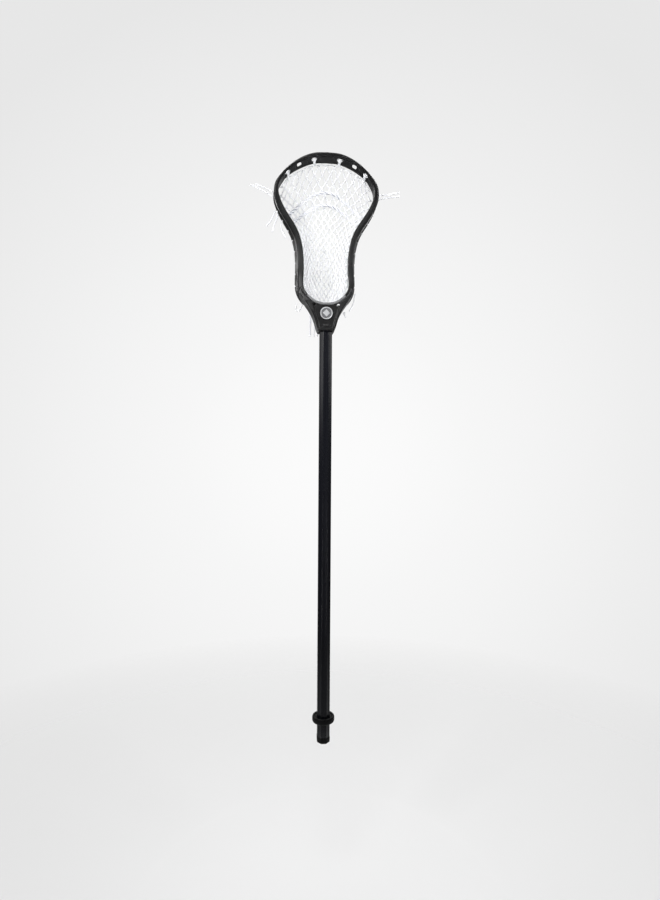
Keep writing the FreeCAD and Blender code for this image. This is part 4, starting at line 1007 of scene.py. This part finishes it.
# the string's end, knotted through the hole in the right wing
bit = [(19.6, -8.0, 754.4), (18.6, -16.4, 754.0), (18.5, -18.9, 754.0), (20.2, -19.3, 754.5), (21.6, -18.6, 754.8), (21.5, -15.0, 755.0)]
parts.append(tube_data(spline_points([Vector(q) * MM for q in bit], 8), 1.0 * MM, 8))
o = merged("v_bottom_string", parts)
set_material(o, MAT_STRING)
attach(o, "stick")
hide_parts("bottom_string")

# knot under the right shoulder, with its short end
kc = Vector((34.6, 25.5, 751.2))
kd = Vector((0.35, -0.1, -1.0)).normalized()
parts = [overhand(kc, kd, 1.75, 1.9),
         tube_data(spline_points([(kc - kd * 2.2) * MM, kc * MM, (kc + kd * 3.6) * MM, (kc + kd * 6.2 + Vector((0.5, 0, 0))) * MM, (kc + kd * 8.6) * MM], 8), 1.05 * MM, 8)]
o = merged("v_string_knot_right", parts)
set_material(o, MAT_STRING)
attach(o, "stick")
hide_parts("string_knot_right")


# --------------------------------------------------------------- moulded and turned pieces
def cad_copy(node, name):
    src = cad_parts[node]
    src = src["object"] if isinstance(src, dict) else src
    me = src.data.copy()
    me.name = name
    me.transform(src.matrix_world)
    o = new_object(name, me)
    o.data.materials.clear()
    return o


def apply_all(o):
    dg = bpy.context.evaluated_depsgraph_get()
    dg.update()
    me = bpy.data.meshes.new_from_object(o.evaluated_get(dg))
    old = o.data
    o.modifiers.clear()
    o.data = me
    bpy.data.meshes.remove(old)


def remesh(o, voxel):
    mod = o.modifiers.new("weld", "WELD")
    mod.merge_threshold = 0.00002
    mod = o.modifiers.new("voxel", "REMESH")
    mod.mode = "VOXEL"
    mod.voxel_size = voxel
    mod.use_smooth_shade = True
    apply_all(o)


def relax(o, factor, count):
    mod = o.modifiers.new("soft", "SMOOTH")
    mod.factor = factor
    mod.iterations = count
    apply_all(o)
    o.data.polygons.foreach_set("use_smooth", [True] * len(o.data.polygons))


def moulded(node, voxel, factor, count, mat, body):
    o = cad_copy(node, "v_" + node)
    remesh(o, voxel)
    relax(o, factor, count)
    set_material(o, mat)
    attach(o, body)
    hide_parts(node)
    return o


# the head: remeshed, then its lip, grooves and panels worked into the surface
head = cad_copy("head_frame", "v_head_frame")
remesh(head, 0.00078)
relax(head, 0.5, 3)


def sculpt_head(o):
    me = o.data
    n = len(me.vertices)
    co = np.empty(n * 3)
    me.vertices.foreach_get("co", co)
    co = co.reshape(-1, 3) / MM
    no = np.empty(n * 3)
    me.vertex_normals.foreach_get("vector", no)
    no = no.reshape(-1, 3)
    ts = np.arange(0.0, LOOP + 0.01, 0.5)
    rows = np.array([row_at(t) for t in ts])
    nor = np.array([normal_at(t) for t in ts])
    X = np.abs(co[:, 0])
    Z = co[:, 2]
    # nearest station, in blocks
    idx = np.empty(n, int)
    for a in range(0, n, 20000):
        b = min(n, a + 20000)
        d = (X[a:b, None] - rows[None, :, 0]) ** 2 + (Z[a:b, None] - rows[None, :, 1]) ** 2
        idx[a:b] = d.argmin(axis=1)
    R = rows[idx]
    N = nor[idx]
    y = co[:, 1]
    f = (y - R[:, 2]) / (R[:, 3] - R[:, 2])
    lean = R[:, 7] * np.clip(f, 0, 1)
    off = (X - R[:, 0]) * N[:, 0] + (Z - R[:, 1]) * N[:, 1] - lean
    t = ts[idx]
    s = LOOP - t                       # distance from the scoop's middle
    sx = np.where(co[:, 0] >= 0, 1.0, -1.0)
    nd = no[:, 0] * sx * N[:, 0] + no[:, 2] * N[:, 1]     # normal's outward part
    inner = (nd < -0.5) & (off < 2.0)
    outer = (nd > 0.5) & (off > 2.0)

    def bump1(v, a, b, w):
        """1 between a and b, falling to 0 over w outside."""
        return np.clip(np.minimum((v - a) / w + 1, (b - v) / w + 1), 0, 1)

    push = np.zeros(n)
    yr = y - R[:, 2]                   # distance back from the front edge
    ybk = R[:, 3] - y                  # distance forward from the back edge
    scoop = bump1(s, -1, 96, 8.0)
    # lip along the front edge of the scoop, with a groove behind it
    push += np.where(inner, scoop * bump1(yr, 4.6, 5.8, 0.9) * 0.85, 0)
    # shallow panels round the lacing holes, leaving a proud block in the middle
    panel = bump1(s, 11.0, 80.0, 1.6) * bump1(yr, 8.2, 100.0, 1.0) * bump1(ybk, 1.6, 100.0, 1.0)
    push += np.where(inner, panel * 1.0, 0)
    # two thin ribs across each panel, and a raised step at the block's sides
    for c in (34.0, 58.5):
        push -= np.where(inner, bump1(s, c - 0.7, c + 0.7, 0.9) * bump1(yr, 8.4, 100.0, 1.0) * bump1(ybk, 1.8, 100, 1.0) * 0.7, 0)
    # a groove along the outside of the side walls, under the front rail's edge
    side = bump1(t, 52.0, 0.74 * LOOP, 8.0)
    push += np.where(outer, -side * bump1(yr, 4.6, 5.4, 1.8) * 0.40, 0)
    # the front flange stands out as far as the back rail round the shoulders of the scoop
    push += np.where(outer, bump1(t, 158.0, 216.0, 12.0) * bump1(yr, -2.0, 7.5, 2.5) * 1.25, 0)
    # a bead along the inside of the back rail
    push -= np.where(inner, side * bump1(ybk, 0.8, 2.0, 1.0) * 0.45, 0)
    # a shallow recess outside each lacing hole, where the string runs back to the edge
    for h in SIDE_HOLES:
        push += np.where(outer, -bump1(t, h - 0.9, h + 1.7, 0.8) * bump1(ybk, -2.0, 5.6, 1.0) * 1.15, 0)
    co[:, 0] += sx * N[:, 0] * push
    co[:, 2] += N[:, 1] * push
    me.vertices.foreach_set("co", (co * MM).ravel())
    me.update()


sculpt_head(head)
relax(head, 0.5, 3)
set_material(head, MAT_NYLON)
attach(head, "stick")
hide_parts("head_frame")

pad_o = moulded("ball_stop_pad", 0.0005, 0.5, 6, MAT_FOAM, "stick")
moulded("end_cap", 0.00045, 0.5, 4, MAT_RUBBER, "cap")
moulded("grip_ring", 0.00045, 0.5, 4, MAT_RUBBER, "ring")
moulded("throat_badge", 0.00020, 0.5, 1, MAT_BADGE, "stick")
moulded("head_screw", 0.00020, 0.5, 1, MAT_SCREW, "screw")


# --------------------------------------------------------------- the tube: slightly dished faces, rounded edges
def octagon_ring(grow, dish, r, per_face=7, per_corner=5):
    w, d = 10.8 + grow, 13.0 + grow
    f, s_ = 4.6 + 0.41421356 * grow, 6.2 + 0.41421356 * grow
    P = [Vector((f, -d)), Vector((w, -s_)), Vector((w, s_)), Vector((f, d)), Vector((-f, d)), Vector((-w, s_)), Vector((-w, -s_)), Vector((-f, -d))]
    out = []
    n = 8
    arcs = []
    for i in range(n):
        a, b, c = P[i - 1], P[i], P[(i + 1) % n]
        u, v = (a - b).normalized(), (c - b).normalized()
        half = (math.pi - u.angle(v)) / 2
        cut = r * math.tan(half)
        p, q = b + u * cut, b + v * cut
        bis = (u + v).normalized()
        centre_ = b + bis * (r / math.cos(half))
        arc = []
        for k in range(per_corner):
            a0 = p - centre_
            a1 = q - centre_
            tt = k / (per_corner - 1)
            vv = (a0 * (1 - tt) + a1 * tt).normalized() * r
            arc.append(centre_ + vv)
        arcs.append(arc)
    for i in range(n):
        out += arcs[i]
        a, b = arcs[i][-1], arcs[(i + 1) % n][0]
        nrm = Vector((-(b - a).y, (b - a).x)).normalized()
        if nrm.dot(-(a + b)) < 0:
            nrm = -nrm
        for k in range(1, per_face):
            u = k / per_face
            out.append(a.lerp(b, u) + nrm * dish * (1 - (2 * u - 1) ** 2))
    return out


def tube_shaft():
    outer = octagon_ring(0.0, 0.32, 1.5)
    inner = octagon_ring(-1.4, 0.0, 0.8)
    n = len(outer)
    levels = [(10.0, -0.35), (10.25, -0.08), (10.6, 0.0)] + [(10.6 + (752.4 - 10.6) * k / 60.0, 0.0) for k in range(1, 61)] + [(752.75, -0.08), (753.0, -0.35)]
    verts, faces = [], []
    for z, g in levels:
        for q in outer:
            k = 1 + g / 11.0
            verts.append((q.x * k * MM, q.y * k * MM, z * MM))
    base = len(verts)
    for z in (10.0, 753.0):
        for q in inner:
            verts.append((q.x * MM, q.y * MM, z * MM))
    L = len(levels)
    for a in range(L - 1):
        for j in range(n):
            p, q = a * n + j, a * n + (j + 1) % n
            faces.append((p, q, q + n, p + n))
    for j in range(n):
        k = (j + 1) % n
        faces.append((base + j, base + n + j, base + n + k, base + k))
        faces.append((j, base + j, base + k, k))
        t = (L - 1) * n
        faces.append((t + j, t + k, base + n + k, base + n + j))
    o = mesh_from("v_shaft", verts, faces)
    bm = bmesh.new()
    bm.from_mesh(o.data)
    bmesh.ops.recalc_face_normals(bm, faces=bm.faces)
    bm.to_mesh(o.data)
    bm.free()
    return o


shaft = tube_shaft()
drill = mesh_from("drill_tmp", *tube_data([Vector((0, 0.009, 0.731)), Vector((0, 0.012, 0.731)), Vector((0, 0.015, 0.731))], 0.00225, 24))
mod = shaft.modifiers.new("hole", "BOOLEAN")
mod.operation = "DIFFERENCE"
mod.object = drill
mod.solver = "EXACT"
apply_all(shaft)
dm = drill.data
bpy.data.objects.remove(drill)
bpy.data.meshes.remove(dm)
shaft.data.polygons.foreach_set("use_smooth", [True] * len(shaft.data.polygons))
set_material(shaft, MAT_TUBE)
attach(shaft, "stick")
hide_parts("shaft")

# --------------------------------------------------------------- stage, lights
def floor_disc(radius, z):
    verts, faces = [(0, 0, z)], []
    rings, sides = 10, 64
    for i in range(1, rings + 1):
        for k in range(sides):
            a = 2 * math.pi * k / sides
            verts.append((radius * i / rings * math.cos(a), radius * i / rings * math.sin(a), z))
    for k in range(sides):
        faces.append((0, 1 + k, 1 + (k + 1) % sides))
    for i in range(rings - 1):
        for k in range(sides):
            p, q = 1 + i * sides + k, 1 + i * sides + (k + 1) % sides
            faces.append((p, p + sides, q + sides, q))
    return mesh_from("floor", verts, faces)


stage = floor_disc(1.7, -0.30)
mat, nt, b = principled("floor_paper", (0.55, 0.55, 0.55), 0.95, 0.0)
v = texcoord(nt)
paper = noise(nt, v, 3.0, 2.0)
nt.links.new(ramp(nt, paper, [(0.3, (0.545, 0.545, 0.545)), (0.7, (0.555, 0.555, 0.555))]), b.inputs["Base Color"])
b.inputs["Emission Color"].default_value = (1.0, 1.0, 1.0, 1.0)
b.inputs["Emission Strength"].default_value = 0.345
# the paper thins out towards its edge, so no rim shows against the studio's pale surround
vl = nt.nodes.new("ShaderNodeVectorMath")
vl.operation = "LENGTH"
nt.links.new(v, vl.inputs[0])
nt.links.new(maprange(nt, vl.outputs["Value"], 0.45, 1.45, 1.0, 0.0), b.inputs["Alpha"])
set_material(stage, mat)


def area(name, loc, target, size_x, size_y, watts, spread=180.0, color=(1, 1, 1)):
    d = bpy.data.lights.new(name, "AREA")
    d.shape = "RECTANGLE"
    d.size = size_x
    d.size_y = size_y
    d.energy = watts
    d.spread = math.radians(spread)
    d.color = color
    o = bpy.data.objects.new(name, d)
    scene.collection.objects.link(o)
    o.location = loc
    o.rotation_euler = (Vector(target) - Vector(loc)).to_track_quat("-Z", "Y").to_euler()
    o.visible_camera = False
    return o


area("side_left", (-1.5, 0.12, 1.05), (0, 0, 0.85), 0.7, 0.7, 4.0)
area("side_right", (1.5, 0.12, 1.05), (0, 0, 0.85), 0.5, 0.6, 2.6)
area("front_left", (-1.15, -1.15, 1.35), (0, 0, 0.88), 0.4, 0.4, 3.6, 70.0)
area("front_right", (1.20, -1.10, 1.25), (0, 0, 0.88), 0.4, 0.4, 2.0, 70.0)
area("front_low", (-0.55, -1.25, -0.10), (0, 0, 0.95), 0.4, 0.3, 1.6, 55.0)
area("front_low_right", (0.75, -1.10, 0.0), (0, 0, 0.95), 0.4, 0.3, 0.95, 55.0)
area("front_high", (-0.25, -0.95, 1.95), (0, 0.03, 0.82), 0.5, 0.4, 1.8, 70.0)
area("front_mid", (0.0, -1.25, 1.32), (0, 0, 0.88), 0.34, 0.12, 0.45, 90.0)
area("back_left", (-0.9, 1.3, 1.5), (0, 0, 0.8), 0.6, 0.6, 7.0)
area("back_right", (0.9, 1.3, 1.3), (0, 0, 0.8), 0.6, 0.6, 5.0)
area("top_left", (-0.70, 0.42, 1.95), (-0.04, 0, 0.97), 0.5, 0.5, 1.6, 60.0)
area("top_right", (0.75, 0.42, 1.90), (0.04, 0, 0.97), 0.5, 0.5, 1.2, 60.0)
area("top_soft", (0.0, 0.0, 2.2), (0, 0, 0.95), 1.2, 0.7, 6.0)
world = bpy.data.worlds.new("studio")
world.use_nodes = True
wn = world.node_tree
bg = wn.nodes["Background"]
bg.inputs["Strength"].default_value = 1.0
# the surround that is seen: pale grey, a little lighter at eye height
seen = wn.nodes.new("ShaderNodeBackground")
seen.inputs["Strength"].default_value = 1.0
tc = wn.nodes.new("ShaderNodeTexCoord")
sp = wn.nodes.new("ShaderNodeSeparateXYZ")
wn.links.new(tc.outputs["Generated"], sp.inputs["Vector"])
# the paper sweep behind the stick lights it from the back, the room in front stays dim
sweep = maprange(wn, sp.outputs["Y"], 0.10, 0.85, 0.0, 1.0)
wn.links.new(ramp(wn, sweep, [(0.0, (0.045, 0.045, 0.045)), (0.45, (0.40, 0.40, 0.40)), (1.0, (0.85, 0.85, 0.85))]), bg.inputs["Color"])
wn.links.new(maprange(wn, sp.outputs["Z"], 0.12, 0.55, 0.30, 1.25), bg.inputs["Strength"])
ahead = wn.nodes.new("ShaderNodeVectorMath")
ahead.operation = "DOT_PRODUCT"
ahead.inputs[1].default_value = (math.sin(math.radians(4.5)), math.cos(math.radians(4.5)), 0.0)
wn.links.new(tc.outputs["Generated"], ahead.inputs[0])
spot = maprange(wn, ahead.outputs["Value"], 0.75, 1.0, 0.0, 1.0)
wn.links.new(ramp(wn, spot, [(0.0, (0.80, 0.80, 0.80)), (0.464, (0.86, 0.86, 0.86)), (0.864, (0.925, 0.925, 0.925)), (1.0, (0.965, 0.965, 0.965))]), seen.inputs["Color"])
lp = wn.nodes.new("ShaderNodeLightPath")
mxs = wn.nodes.new("ShaderNodeMixShader")
wn.links.new(lp.outputs["Is Camera Ray"], mxs.inputs[0])
wn.links.new(bg.outputs[0], mxs.inputs[1])
wn.links.new(seen.outputs[0], mxs.inputs[2])
wn.links.new(mxs.outputs[0], wn.nodes["World Output"].inputs["Surface"])
scene.world = world
scene.view_settings.view_transform = "Standard"
